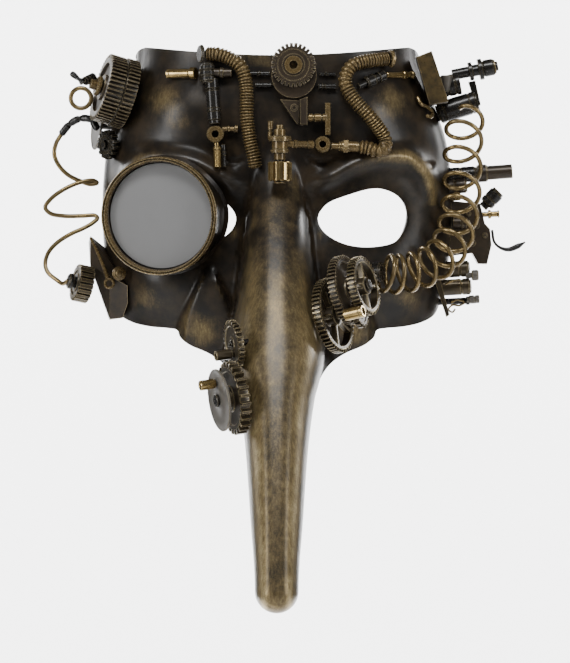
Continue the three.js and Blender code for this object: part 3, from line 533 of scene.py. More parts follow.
def wheel(teeth, root, tip, thickness, bore, rim=2.2, hub=0.0, dish=0.5, base=0.0, chamfer=0.3,
          tooth=PLAIN_TOOTH):
    """A toothed wheel on Z with chamfered teeth, a raised rim and hub, and a sunken web on both faces."""
    a, b, c, d = tooth
    marks = np.concatenate([[0], np.linspace(a, b, 4), [(b + c) / 2], np.linspace(c, d, 4)])
    turns = (np.arange(teeth)[:, None] + marks).ravel()
    angles = 2 * math.pi * turns / teeth
    lift = smooth_step(a, b, turns % 1) - smooth_step(c, d, turns % 1)
    low, high = base, base + thickness
    flank = root + (tip - root) * lift
    dull = root + (tip - root - chamfer) * lift - chamfer * 0.3
    rows = [(dull, low), (flank, low + chamfer), (flank, high - chamfer), (dull, high)]
    edge = root - rim
    core = max(hub, bore + 0.8)
    inner = [(bore + 0.2, high), (bore, high - 0.2), (bore, low + 0.2), (bore + 0.2, low)]
    if edge > core + 0.6:
        web = [(edge, high), (edge - 0.3, high - dish), (core + 0.3, high - dish), (core, high)]
        back = [(core, low), (core + 0.3, low + dish), (edge - 0.3, low + dish), (edge, low)]
        inner = web + inner + back
    rings = []
    for radius, height in rows + inner:
        reach = np.broadcast_to(radius, angles.shape)
        level = np.full(len(angles), height)
        rings.append(np.stack([reach * np.cos(angles), reach * np.sin(angles), level], 1))
    return Solid(np.vstack(rings), grid_faces(len(rings), len(angles), True, True))


def spoked(teeth, root, tip, thickness, bore, window, hub, spokes, width, base=0.0, first=0.0):
    """A toothed rim joined to its hub by tapered, rounded spokes."""
    whole = wheel(teeth, root, tip, thickness, window, rim=99, base=base, tooth=THIN_TOOTH)
    low, high = base, base + thickness
    if bore:
        whole += ring_bar(bore, hub, low - 0.3, high + 0.3, 0.3)
    else:
        whole += turned([(hub, thickness + 0.6), (hub * 0.45, 0.8)], low - 0.3)
    inset = thickness * 0.14
    for k in range(spokes):
        stations = [(hub - 0.5, width * 1.25), (hub + 1.2, width * 0.95), ((hub + window) / 2, width * 0.8),
                    (window - 1.0, width * 0.95), (window + 0.6, width * 1.4)]
        whole += bar_between(stations, low + inset, high - inset).turned(first + 360 * k / spokes)
    return whole


def bar_between(stations, low, high):
    """A flat bar along X whose width changes at each (x, width) station, with softened corners."""
    points = []
    for x, width in stations:
        half, c = width / 2, min(0.35, width / 5)
        section = [(-half, low + c), (-half + c, low), (half - c, low), (half, low + c), (half, high - c),
                   (half - c, high), (-half + c, high), (-half, high - c)]
        points += [(x, y, z) for y, z in section]
    faces = [tuple(reversed(face_)) for face_ in grid_faces(len(stations), 8)]
    last = 8 * (len(stations) - 1)
    return Solid(points, faces + [tuple(range(8)), tuple(reversed(range(last, last + 8)))])


def frames_along(points):
    """Tangent, side and lift at each point, carried along without twist."""
    tangents = np.gradient(points, axis=0)
    tangents /= np.linalg.norm(tangents, axis=1)[:, None]
    side = np.cross(tangents[0], FRONT if abs(tangents[0] @ FRONT) < 0.9 else UP)
    sides = []
    for tangent in tangents:
        side = side - tangent * (side @ tangent)
        side /= np.linalg.norm(side)
        sides.append(side)
    sides = np.array(sides)
    return tangents, sides, np.cross(tangents, sides)


def tube(points, radii, sides=14):
    """A round bar along points, with one radius or one for each point, closed and rounded at its ends."""
    radii = np.broadcast_to(radii, len(points)).astype(float)
    tangents, side, lift = frames_along(points)
    rows = [(points[0] - tangents[0] * radii[0] * 0.45, radii[0] * 0.0, 0),
            (points[0] - tangents[0] * radii[0] * 0.35, radii[0] * 0.65, 0)]
    rows += [(point, radius, k) for k, (point, radius) in enumerate(zip(points, radii))]
    last = len(points) - 1
    rows += [(points[-1] + tangents[-1] * radii[-1] * 0.35, radii[-1] * 0.65, last),
             (points[-1] + tangents[-1] * radii[-1] * 0.45, 0, last)]
    angles = np.linspace(0, 2 * math.pi, sides, endpoint=False)
    rings = [centre + radius * (np.outer(np.cos(angles), side[k]) + np.outer(np.sin(angles), lift[k]))
             for centre, radius, k in rows]
    return Solid(np.vstack(rings), grid_faces(len(rows), sides))


def plate(outline, near, far, inset=0.3):
    """A flat outline in X and Z made solid between two forward distances, with chamfered edges."""
    outline = np.array(outline, float)
    following = np.roll(outline, -1, 0)
    if np.sum(outline[:, 0] * following[:, 1] - following[:, 0] * outline[:, 1]) < 0:
        outline = outline[::-1]
    before = outline - np.roll(outline, 1, 0)
    after = np.roll(outline, -1, 0) - outline
    before /= np.linalg.norm(before, axis=1)[:, None]
    after /= np.linalg.norm(after, axis=1)[:, None]
    inward = np.stack([-(before + after)[:, 1], (before + after)[:, 0]], 1)
    inward /= np.linalg.norm(inward, axis=1)[:, None]
    share = np.maximum((inward * np.stack([-after[:, 1], after[:, 0]], 1)).sum(1), 0.35)
    small = outline + inward * (inset / share)[:, None]
    rows = [(small, near), (outline, near + inset), (outline, far - inset), (small, far)]
    points = [(x, -forward, z) for ring, forward in rows for x, z in ring]
    count = len(outline)
    faces = grid_faces(4, count)
    faces += [tuple(reversed(range(count))), tuple(range(3 * count, 4 * count))]
    return Solid(points, faces)


def between(start, end, steps, **settings):
    """A stepped shaft from one point towards another, stretched to end there."""
    stretch = np.linalg.norm(np.subtract(end, start)) / sum(length for _, length in steps)
    steps = [(radius, length * stretch) for radius, length in steps]
    return turned(steps, **settings).placed(start, np.subtract(end, start))


def make(name, solid, smooth_angle=38):
    mesh = bpy.data.meshes.new(name)
    mesh.from_pydata((solid.points * MM).tolist(), [], solid.faces)
    work = bmesh.new()
    work.from_mesh(mesh)
    bmesh.ops.remove_doubles(work, verts=work.verts, dist=2e-6)
    bmesh.ops.recalc_face_normals(work, faces=work.faces)
    work.to_mesh(mesh)
    work.free()
    mesh.shade_smooth()
    mesh.set_sharp_from_angle(angle=math.radians(smooth_angle))
    return link(bpy.data.objects.new(name, mesh))


def piece(name, solid, finish, replaces=(), body=MASK, smooth_angle=38):
    """A finished piece on a body, which may stand for one or more of the frame's nodes."""
    obj = make(name, solid, smooth_angle)
    obj.data.materials.append(MATERIALS[finish])
    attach(obj, body)
    if replaces:
        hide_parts(*replaces)
    return obj


# ---------------------------------------------------------------- shell

COLUMNS = 180
EDGE_ROWS = 250
SIDE_CROWDING = 1.15


def edge_rows():
    """The edge from the top corner to the beak's tip, as (half-width, height), in short even steps."""
    side = [(float(through(FACE_HALF_WIDTH, z)), z) for z in np.linspace(81, -43, 16)]
    beak = [(float(through(NOSE_HALF_WIDTH, z)), z) for z in np.linspace(-81, TIP, 13)]
    radius = beak[-1][0]
    tip = [(radius * math.cos(a), TIP - radius * math.sin(a)) for a in np.radians(np.linspace(8, 89, 14))]
    upper = curve_points(TOP_CORNER + side + LOWER_EDGE + beak, EDGE_ROWS)
    on_beak = upper[:, 1] < beak[0][1]
    upper[on_beak, 0] = through(NOSE_HALF_WIDTH, upper[on_beak, 1])
    return [tuple(p) for p in upper] + tip


def eye_outline(mirror):
    return curve_points([(mirror * x, z) for x, z in EYE], 240, closed=True)


def inside(outline, x, z):
    """Whether points lie inside a closed outline."""
    within = np.zeros(x.shape, bool)
    for (x0, z0), (x1, z1) in zip(outline, np.roll(outline, -1, 0)):
        if z0 == z1:
            continue
        crossing = (z0 > z) != (z1 > z)
        within ^= crossing & (x < (x1 - x0) * (z - z0) / (z1 - z0) + x0)
    return within


def gold_and_highlight_amount(x, z):
    """How much gold is on: rubbed gold, most on ridges and bulges, the beak and the outer brow, and painted
    highlights on the forehead bulges, the top edge, the middle of the forehead, beside the bridge, the inner
    eye corners, the cheeks and the beak's two ridge lines.
    """
    side = np.abs(x)
    reach = 3.0
    beside = forward_at(x + reach, z) + forward_at(x - reach, z)
    around = beside + forward_at(x, z + reach) + forward_at(x, z - reach)
    convex = np.clip((4 * forward_at(x, z) - around) / 6, -1, 1)
    distance, along = brow_distance(side, z)
    bead = np.exp(-((distance / 4.2) ** 2)) * (0.2 + 0.8 * smooth_step(0.3, 0.75, along))
    bead *= smooth_step(0, 0.1, along) * smooth_step(0, 0.06, 1 - along) * np.where(x > 0, 1, 0.3)
    # Painted highlights on the forehead bulges, over rubbed gold.
    bulge = 0.62 * mound(side, z, 57, 58, 9, 8) + 0.3 * mound(side, z, 47, 47, 9, 5)
    # Painted highlights: a band along the top edge left of the middle, and two small spots in the middle of
    # the forehead.
    top = 0.5 * smooth_step(2.6, 0.6, 82 - TOP_DIP * (1 - (x / 72) ** 2) - z) * mound(x, z, -12, 80, 16, 20)
    top += 0.35 * mound(x, z, -3, 48.5, 4, 2.5) + 0.35 * mound(x, z, 3.5, 44, 3, 3)
    # Gold on the cheek bulges, partly painted highlight.
    cheek = 0.5 * mound(side, z, 66, -40, 8, 6)
    width = through(NOSE_HALF_WIDTH, np.maximum(z, TIP))
    across = side / width
    down = smooth_step(10, -75, z)
    # Two lines along the beak's rounded edges: partly rubbed gold, partly painted highlight.
    ridges = np.exp(-(((across - 0.58) / 0.17) ** 2))
    beak = (0.16 + 0.34 * down) * (1 - smooth_step(0.6, 1, across)) * smooth_step(34, 8, z)
    beak += 0.35 * down * ridges
    bridge = 0.3 * mound(x, z, 0, 0, 8, 10) + 0.3 * mound(x, z, 0, -38, 7, 16)
    # A painted highlight beside the bridge.
    bridge += 0.4 * mound(x, z, 10, 17, 5, 7)
    # Bright gold at the inner eye corners, partly painted highlight.
    corner = 0.7 * mound(side, z, 21.5, -8, 3.4, 5.5)
    wing = 0.3 * np.exp(-(((side - 34 - 1.05 * (3 + 12 * smooth_step(-22, -58, z))) / 1.6) ** 2))
    wing *= smooth_step(-24, -34, z)
    wing += 0.85 * mound(side, z, 38, -56, 8, 8)
    rear = -0.8 * smooth_step(0.86, 0.98, side / through(FACE_HALF_WIDTH, z)) * smooth_step(-52, -44, z)
    socket = rear - 0.6 * mound(side, z, 43, 1, 27, 17) - 0.35 * mound(side, z, 26, 34, 14, 12)
    return 0.35 * convex + 0.8 * bead + bulge + top + cheek + beak + bridge + corner + wing + socket


def shell_grid():
    u = np.linspace(-1, 1, COLUMNS + 1)
    ratio = np.sign(u) * np.sin(np.abs(u) * math.pi / 2) ** SIDE_CROWDING
    rows = np.array(edge_rows())
    x = rows[:, :1] * ratio
    dip = TOP_DIP * smooth_step(55, 86, rows[:, 1:])
    z = rows[:, 1:] - dip * (1 - ratio**2)
    return x, z


def open_eye(x, z, keep, mirror):
    """Takes the faces inside an eye hole away and draws its border onto the outline."""
    outline = eye_outline(mirror)
    middle_x = (x[:-1, :-1] + x[1:, 1:]) / 2
    middle_z = (z[:-1, :-1] + z[1:, 1:]) / 2
    gone = inside(outline, middle_x, middle_z)
    keep &= ~gone
    touches_gone = np.zeros(x.shape, bool)
    touches_kept = np.zeros(x.shape, bool)
    for dj in (0, 1):
        for di in (0, 1):
            rows = slice(dj, dj + gone.shape[0])
            columns = slice(di, di + gone.shape[1])
            touches_gone[rows, columns] |= gone
            touches_kept[rows, columns] |= ~gone
    border = touches_gone & touches_kept
    gaps = np.hypot(x[border][:, None] - outline[:, 0], z[border][:, None] - outline[:, 1])
    nearest = gaps.argmin(1)
    x[border] = outline[nearest, 0]
    z[border] = outline[nearest, 1]


def build_shell():
    x, z = shell_grid()
    keep = np.ones((x.shape[0] - 1, x.shape[1] - 1), bool)
    for mirror in (-1, 1):
        open_eye(x, z, keep, mirror)
    points = np.stack([x, -forward_at(x, z), z], -1)
    columns = x.shape[1]
    corners = [int(j * columns + i) for j, i in zip(*np.nonzero(keep))]
    faces = [(a, a + columns, a + columns + 1, a + 1) for a in corners]
    mesh = bpy.data.meshes.new("shell")
    mesh.from_pydata((points.reshape(-1, 3) * MM).tolist(), [], faces)
    # Rubbed gold and painted highlights, for each point.
    gold = mesh.attributes.new("gold", "FLOAT", "POINT")
    gold.data.foreach_set("value", gold_and_highlight_amount(x, z).ravel().astype(np.float32))
    work = bmesh.new()
    work.from_mesh(mesh)
    bmesh.ops.delete(work, geom=[v for v in work.verts if not v.link_faces], context="VERTS")
    bmesh.ops.remove_doubles(work, verts=work.verts, dist=1e-6)
    work.to_mesh(mesh)
    work.free()
    shell = link(bpy.data.objects.new("shell", mesh))
    thick = shell.modifiers.new("wall", "SOLIDIFY")
    thick.thickness = WALL * MM
    thick.offset = -1
    thick.use_rim = True
    soft = shell.modifiers.new("soft_edge", "BEVEL")
    soft.width = 0.0005
    soft.segments = 2
    soft.limit_method = "ANGLE"
    soft.angle_limit = math.radians(50)
    mesh.shade_smooth()
    mesh.materials.append(MATERIALS["shell_paint"])
    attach(shell, MASK)
    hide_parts("mask_shell")


# ---------------------------------------------------------------- seating pieces on the shell

def depth(points):
    """Height of points in front of the shell's surface, or one where they are beyond its side."""
    height = -points[:, 1] - forward_at(points[:, 0], points[:, 2])
    return np.where(np.abs(points[:, 0]) > through(FACE_HALF_WIDTH, points[:, 2]), 1.0, height)


def seated(solid, direction, sink=0.9):
    """Slides whatever is deeper than the sink back along a direction, so that a foot ends inside the wall."""
    along = np.asarray(direction, float) / np.linalg.norm(direction)
    points = solid.points.copy()
    deep = depth(points) < -sink
    start = points[deep]
    travel = np.zeros(len(start))
    waiting = np.ones(len(start), bool)
    for step in np.arange(0, 50, 0.4):
        travel[waiting] = step
        waiting[waiting] = depth(start[waiting] + step * along) < -sink
        if not waiting.any():
            break
    low, high = np.maximum(travel - 0.4, 0), travel.copy()
    for _ in range(8):
        middle = (low + high) / 2
        buried = depth(start + middle[:, None] * along) < -sink
        low = np.where(buried, middle, low)
        high = np.where(buried, high, middle)
    points[deep] = start + high[:, None] * along
    return Solid(points, solid.faces)


def rooted(solid, origin, direction):
    """A piece modelled on its own axes, placed and seated along its axis."""
    return seated(solid.placed(origin, direction), direction)


def rod(start, end, steps, **settings):
    """A stepped shaft from a point on the shell towards another, seated on the way."""
    return seated(between(start, end, steps, **settings), np.subtract(end, start))


# ---------------------------------------------------------------- goggle

GOGGLE_OUTWARD = math.radians(14)
GOGGLE_DOWNWARD = math.radians(3.5)
GOGGLE_AXIS = (-math.sin(GOGGLE_OUTWARD), -math.cos(GOGGLE_OUTWARD) * math.cos(GOGGLE_DOWNWARD),
               -math.sin(GOGGLE_DOWNWARD))
GOGGLE_PLACE = at(-59.2, 66, 0.5)
GOGGLE_SIDES = 120


def build_goggle():
    wall = [(24.7, -46), (28.6, -46), (28.6, -12), (28.6, -4.6), (28.4, -4.35), (26.9, -4.35), (26.7, -4.6),
            (26.7, -7.9), (24.7, -8.1)]
    tube_wall = rooted(lathe(wall, GOGGLE_SIDES, loop=True), GOGGLE_PLACE, GOGGLE_AXIS)
    reach = 30.4
    foot = [(28.3, -46), (reach, -46), (reach, -45.2), (28.9, -43.4), (28.3, -43)]
    foot = lathe(foot, GOGGLE_SIDES, loop=True)
    foot = seated(foot.placed(GOGGLE_PLACE, GOGGLE_AXIS), GOGGLE_AXIS, 0.5)
    ring = foot.points[GOGGLE_SIDES:2 * GOGGLE_SIDES]
    for row, (radius, rise) in enumerate(((reach, 0.25), (28.9, 1.6), (28.3, 2.2)), start=2):
        shift = (radius - reach) * outward_from_axis(ring) + rise * np.array(GOGGLE_AXIS)
        foot.points[row * GOGGLE_SIDES:(row + 1) * GOGGLE_SIDES] = ring + shift
    piece("goggle_wall", tube_wall + foot, "shell_paint", ["goggle_tube"])
    profile = [(26.9, -4), (29.3, -4), (29.5, -3.8), (29.5, -3.1), (29.25, -2.9), (29.25, -2.6), (29.5, -2.4),
               (29.5, -0.8), (29.35, -0.3), (29.1, -0.03), (28.85, -0.03), (28.65, -0.25), (28.55, -0.9),
               (28.15, -0.9), (28.05, -0.3), (27.9, -0.05), (27.7, -0.05), (27.55, -0.3), (27.3, -1.2),
               (26.9, -2.2)]
    rim = lathe(profile, GOGGLE_SIDES, loop=True).placed(GOGGLE_PLACE, GOGGLE_AXIS)
    piece("goggle_ring", rim, "gold_paint", ["goggle_rim"])
    glass = lathe([(0, -7.5), (26.1, -7.5), (26.3, -7.3), (26.3, -5.9), (26.1, -5.7), (0, -5.7)], 96)
    piece("goggle_glass", glass.placed(GOGGLE_PLACE, GOGGLE_AXIS), "lens", ["goggle_lens"])


def outward_from_axis(points):
    axis = np.array(GOGGLE_AXIS)
    spread = points - GOGGLE_PLACE
    spread = spread - np.outer(spread @ axis, axis)
    return spread / np.linalg.norm(spread, axis=1)[:, None]


# ---------------------------------------------------------------- forehead

CROWN = at(8.2, 63, 75.7)


def build_crown_gear():
    gear = wheel(28, 9.3, 11, 3, 3.45, rim=1.3, hub=5.4, dish=0.3, tooth=BROAD_TOOTH).placed(CROWN, FRONT)
    piece("crown_wheel", gear, "dark_bronze", ["crown_gear"], "crown_gear_body")
    disc = turned([(11.3, 2.1)], -2.6, sides=64).moved(0.3, -5.1)
    rivet = lathe([(0, -2), (3, -2), (3, 3.4), (4.3, 3.4), (4.5, 3.6), (4.5, 4.2), (4.3, 4.4), (2.3, 4.4),
                   (2.1, 4.2), (2.1, 1), (0, 1)], 40)
    foot = turned([(5, 8)], -10).moved(0.3, -8.7)
    piece("crown_bracket", rooted(disc + foot, CROWN, FRONT), "dark_bronze", ["crown_gear_bracket"])
    piece("crown_rivet", rivet.placed(CROWN, FRONT), "gold_paint")


def build_crown_rods():
    upper = rod(on(21, 71.6, 1.6), on(29.6, 71.6, 1.6), [(0.9, 3), (1.3, 1.2), (0.9, 4.6)])
    piece("crown_rod_a", upper, "black_plastic", ["crown_rod_upper"])
    lower = rod(on(20.4, 65.4, 2), on(29.6, 65.4, 2), [(1.5, 2.4), (1.1, 1), (1.5, 6)])
    piece("crown_rod_b", lower, "black_plastic", ["crown_rod_lower"])
    left = rod(on(-13.5, 71.8, 1.6), on(-3.4, 71.8, 1.6), [(1.1, 4), (1.5, 1.2), (1.1, 5)])
    left += rod(on(-11, 66, 1.6), on(-2.6, 66, 1.6), [(1.2, 8.4)])
    piece("crown_rods_left", left, "black_plastic")


def build_lever_group():
    bell = plate([(1.5, 58.8), (11.7, 58.2), (10.8, 46), (9.6, 46.6)], 60.4, 62)
    rivet = ring_bar(0.9, 1.9, 0, 0.7, 0.15, 24).placed(at(8.6, 61.9, 54.5), FRONT)
    bar = plate([(11.4, 46), (15.2, 46), (15.2, 60), (11.4, 58.8)], 56.6, 63.4)
    piece("bell_crank", seated(bell + rivet + bar, FRONT), "dark_bronze", ["bell_crank_plate"])
    rod_steps = [(2, 2.2), (1.6, 0.8), (2, 3.4), (1.6, 0.8), (2, 2.2)]
    link_rod = turned(rod_steps).placed(at(15.6, 61.4, 49.7), (1, 0, 0))
    link_rod += plate([(24, 41), (26.6, 41), (26.6, 57), (24, 57)], 56.6, 62.6)
    for z in (54.6, 43.4):
        link_rod += turned([(0.9, 0.7)], sides=20).placed(at(25.3, 62.4, z), FRONT)
    piece("link", seated(link_rod, FRONT), "gold_paint", ["link_lever"])


LEFT_HOSE = [
    (-34.3, 81.7), (-28.7, 81.3), (-23.1, 79.1), (-18.4, 75.5), (-16.2, 70.5), (-15.3, 64.5), (-15.1, 57),
    (-15, 50.3), (-14.3, 43.8), (-13.2, 37.4), (-11.6, 30.5), (-10.9, 25.7),
]
RIGHT_HOSE = [
    (54.4, 79.7), (49.4, 78.9), (43, 77.9), (37.5, 75.7), (34.7, 71.9), (33.9, 67.5), (35.5, 63.1),
    (39.5, 57.5), (45.4, 51.2), (50.2, 45.2), (53.6, 40), (54.2, 36), (52, 33.2), (48.8, 33.4), (45.4, 34.6),
    (42, 35.1),
]


RIB_PITCH = 1.5
RIB_PITCH_IN_BENDS = 2.3


def hose(line, name, node):
    """A corrugated hose whose rings stand further apart where it bends."""
    path = curve_points([on(x, z, HOSE_LIFT) for x, z in line], 700)
    gaps = np.linalg.norm(np.diff(path, axis=0), axis=1)
    heading = np.diff(path, axis=0) / gaps[:, None]
    bend = np.linalg.norm(np.gradient(heading, axis=0), axis=1) / gaps
    bend = np.convolve(bend, np.ones(25) / 25, mode="same")
    pitch = RIB_PITCH + (RIB_PITCH_IN_BENDS - RIB_PITCH) * smooth_step(0.02, 0.09, bend)
    phase = np.concatenate([[0], np.cumsum(gaps / pitch)])
    ribs = (0.5 + 0.5 * np.cos(2 * math.pi * phase)) ** 0.45
    piece(name, tube(path, HOSE_RADIUS * (0.73 + 0.27 * ribs), 20), "gold_paint", [node], smooth_angle=70)


def open_ring(place, inner, outer):
    """A short open pipe end that faces forward, with a narrow flange round it."""
    body = rooted(ring_bar(inner, outer, -14, 0, 0.35, 40), place, FRONT)
    return body + rooted(ring_bar(inner, outer + 0.35, -3.2, -2.2, 0.2, 40), place, FRONT)


def build_left_pipework():
    hose(LEFT_HOSE, "hose_left", "left_hose")
    collar = turned([(4.5, 1.2), (4.1, 0.6)], 1.9).placed(on(-35.4, 81.7, HOSE_LIFT), (-1, -0.35, 0))
    piece("hose_left_flange", collar, "black_plastic", ["left_hose_flange"])
    start, end = on(-54, 72.2, 3.6), on(-38.9, 72.2, 3.6)
    pipe = turned([(1.9, 0.7), (2.25, 10.4), (1.9, 1), (3, 2.8)]).placed(start, end - start)
    mouth = ring_bar(1.3, 2.35, -0.9, 0.6).placed(start, end - start)
    piece("pipe_left", pipe + mouth, "brass", ["left_pipe"])
    tail = rod(on(-31.6, 72.2, 4.4), on(-22.4, 72.2, 3.6), [(2.1, 3), (2.6, 1.6), (2.1, 4)])
    piece("pipe_left_tail", tail, "dark_bronze")
    body = rod(on(-34.4, 66.8, 5), on(-34.8, 76.6, 5),
               [(3.3, 0.8), (3.9, 2.1), (3.4, 0.6), (3.9, 2.4), (3.4, 0.6), (3.9, 2.1), (3.2, 1.2)])
    body += rod(on(-32.6, 69, 4), on(-31, 46.4, 3.6),
                [(3.3, 5), (2.7, 0.9), (3.3, 9), (3.6, 1.6), (3.3, 4.4), (2.7, 1.9)])
    body += rod(on(-35.2, 72.2, 5), on(-38.2, 72.2, 4.4), [(2.4, 1)])
    piece("valve_body_left", body, "black_plastic", ["left_valve_body"])
    ring = open_ring(on(-30.75, 41.5, 7), 1.8, 3.9)
    ring += rod(on(-27.4, 44, 3), on(-19.4, 44.2, 2.6), [(1.15, 3), (1.6, 1), (1.15, 2.6), (1.9, 1.6)])
    piece("ring_left", ring, "gold_paint", ["left_ring"])
    nozzle = rod(on(-30.2, 37.3, 3.4), on(-29.8, 34, 3.4), [(1.3, 1)])
    nozzle += rod(on(-29.9, 35.5, 3.4), on(-29.5, 24.6, 3.4),
                  [(1.7, 0.8), (2.1, 1.4), (1.8, 0.5), (1.9, 8.3)])
    piece("nozzle", nozzle, "brass", ["left_nozzle"])
    side = rod(on(-26.8, 36.4, 2), on(-26.4, 25, 2), [(1.3, 4), (1.6, 1.4), (1.3, 6)])
    piece("nozzle_side_tube", side, "black_plastic")


def build_right_pipework():
    hose(RIGHT_HOSE, "hose_right", "right_hose")
    ring = ring_bar(2.4, 4.3, 0, 1.8, 0.4) + turned([(2.6, 1.2)], 0.2)
    ring = ring.placed(on(56.2, 79.8, HOSE_LIFT + 1.2), (1, 0.5, 0))
    piece("hose_right_ring", ring, "gold_paint", ["right_hose_ring"])
    pipe = rod(on(54.6, 71.6, 3.2), on(68.6, 72.4, 3.4), [(1.5, 8), (2, 1.8), (1.5, 2.4), (1.9, 1.3)])
    piece("pipe_right", pipe, "brass", ["right_pipe"])
    steps = [(1.6, 4), (2.8, 0.6), (3.2, 3.4), (2.8, 0.6), (2.2, 2), (2.9, 3)]
    barrel = rod(on(40.4, 65.5, 3.4), on(53.5, 71.4, 3.4), steps)
    piece("barrel_right", barrel, "black_plastic", ["right_barrel"])
    piece("ring_right", open_ring(on(22.75, 36.4, 7), 1.7, 3.7), "gold_paint", ["right_ring"])
    start, end = on(27, 35.6, 4.6), on(41, 35.1, HOSE_LIFT)
    union = rod(start, end, [(1.7, 1.6), (2.3, 0.5), (2.7, 3.4), (2.3, 0.5)])
    union += turned([(3.45, 2.4)], 6.1, sides=6).placed(start, end - start)
    union += turned([(2.1, 3.2), (2.6, 2)], 8.4).placed(start, end - start)
    piece("union_right", union, "gold_paint", ["right_union"])


VALVE = at(1.4, 72.5, 0)


def build_valve():
    stem = turned([(3, 0.8), (1.7, 10.8), (2.8, 3.4), (4.1, 0.4), (4.5, 1.2), (4.1, 0.4), (4, 3.9),
                   (5.5, 0.5), (5.9, 1.5), (5.5, 0.5), (2.9, 3.4), (1.8, 2.2)], 16.6)
    stem += turned([(0.9, 1.2), (1.3, 3), (0.9, 1), (1.3, 4.3)], 38).moved(-4.6, 1)
    bracket = plate([(-2.5, 34.1), (2.5, 34.1), (2.5, 39.1), (-2.5, 39.1)], -14.5, -0.5)
    side = turned([(1.7, 5), (2.2, 1.6), (1.7, 5.4), (2, 3.1)]).placed((2, 6, 36.4), (14.8, 3.3, -0.2))
    whole = (stem + bracket + side).moved(*VALVE)
    piece("valve", seated(whole, FRONT), "gold_paint", ["valve_stem"])
    knob = wheel(10, 4.3, 6, 9.6, 2.15, rim=1, hub=3, dish=0.9, base=17.75, chamfer=0.6,
                 tooth=(0.04, 0.1, 0.52, 0.58)).placed(VALVE, UP)
    piece("valve_nut", knob, "brass", ["valve_knob"], "valve_knob_body")


# ---------------------------------------------------------------- left temple and jaw

def build_temple_gear():
    place, axis = at(-74.5, 31, 62.3), (-0.93, -0.25, 0.27)
    bands = wheel(48, 15.8, 17.8, 6, 3.45, rim=2, hub=5, dish=0.6, tooth=THIN_TOOTH)
    bands += ring_bar(3.45, 15.4, 5.5, 7.5, 0.1, 96)
    bands += wheel(48, 15.4, 17.4, 8, 3.45, rim=2.6, hub=6.4, dish=1.6, base=7, tooth=THIN_TOOTH)
    piece("temple_wheel", bands.placed(place, axis), "dark_bronze", ["temple_gear"], "temple_gear_body")
    axle = turned([(3, 31.5), (4.7, 0.4), (5.2, 1.6), (4.7, 0.4), (2.6, 3)], -16)
    piece("temple_spindle", rooted(axle, place, axis), "gold_paint", ["temple_axle"])


def build_temple_trim():
    radius, around = 5.1, np.linspace(0, 2 * math.pi, 14, endpoint=False)
    section = [(radius + WIRE * math.cos(a), WIRE * math.sin(a)) for a in around]
    ring = lathe(section, 56, loop=True)
    piece("wire_ring", ring.placed(at(-98.6, 37, 60.5), FRONT), "gold_wire", ["temple_wire_ring"])
    route = [at(-95.6, 32.4, 69.4), at(-100.3, 34.4, 70.4), at(-103.4, 35, 72.4), at(-102.6, 36.6, 73.2),
             at(-99.4, 37.4, 69.8), at(-98.2, 38, 67.6)]
    clip = tube(curve_points(route, 60), 0.9, 14)
    clip += between(at(-92.6, 28, 71.6), at(-96.7, 33.4, 69.2), [(2.3, 4.4), (1.9, 0.6), (2.3, 2)])
    piece("wire_clip", clip, "black_plastic", ["temple_clip"])
    disc = lathe([(0, 0), (13.2, 0), (13.5, 0.3), (13.5, 0.9), (13.2, 1.2), (12, 1.2), (11.8, 0.95),
                  (4.4, 0.95), (4.2, 1.2), (0, 1.2)], 72)
    disc += turned([(2.6, 12)], -11.6)
    piece("plain_disc", rooted(disc, at(-91, 6, 49), (-0.97, -0.22, 0.1)), "grey_plastic", ["temple_disc"])
    pinion = wheel(14, 6, 7.4, 4, 2.4, rim=1.2, hub=3.6, dish=0.5) + turned([(2.5, 10), (1.8, 5)], -9.6)
    place = rooted(pinion, at(-83.6, 27.6, 37.6), (-0.8, -0.6, -0.05))
    piece("small_dark_wheel", place, "black_plastic", ["temple_pinion"])


SIDE_WIRE = [
    (-109.6, 43.2), (-112.2, 38.5), (-113, 33), (-110.8, 27.6), (-106.3, 22.8), (-100, 19.6), (-94.8, 18),
    (-91.4, 18.7), (-93.6, 19.9), (-101, 18.6), (-109.5, 14.5), (-115.2, 10), (-117.6, 6.2), (-115.2, 3.2),
    (-108.9, 1.9), (-99.2, 1.9), (-92.6, 2.1), (-91.3, 0.8), (-93.5, -1.6), (-98.6, -4.6), (-104.4, -7.2),
    (-111.4, -11.7), (-115.9, -16.8), (-117.4, -22.5), (-115.9, -27), (-111.6, -30.6), (-108.4, -32.6),
]


def build_side_wire():
    last = len(SIDE_WIRE) - 1
    route = []
    for i, (x, z) in enumerate(SIDE_WIRE):
        run = i / last
        route.append(at(x, 13 + 2.2 * math.sin(i * 0.7) + run * 14 * float(smooth_step(0.75, 1, run)), z))
    route.append(at(-105.7, 29.4, -31.4))
    wire = tube(curve_points(route, 420), WIRE, 18)
    piece("looped_wire", wire, "gold_wire", ["side_wire"], smooth_angle=70)
    sleeve = curve_points([at(-91.2, 20.2, 46), at(-94.6, 19, 50.6), at(-100.5, 16.6, 50.9),
                           at(-105.4, 14.6, 48.2), at(-109.3, 13.1, 43.7)], 120)
    along = np.linspace(0, 1, 120)
    knots = 1.9 - 0.45 * np.exp(-(((along[:, None] - np.array([0.2, 0.47, 0.74])) / 0.035) ** 2)).sum(1)
    piece("knotted_sleeve", tube(sleeve, knots, 16), "black_plastic", ["wire_sleeve"], smooth_angle=70)


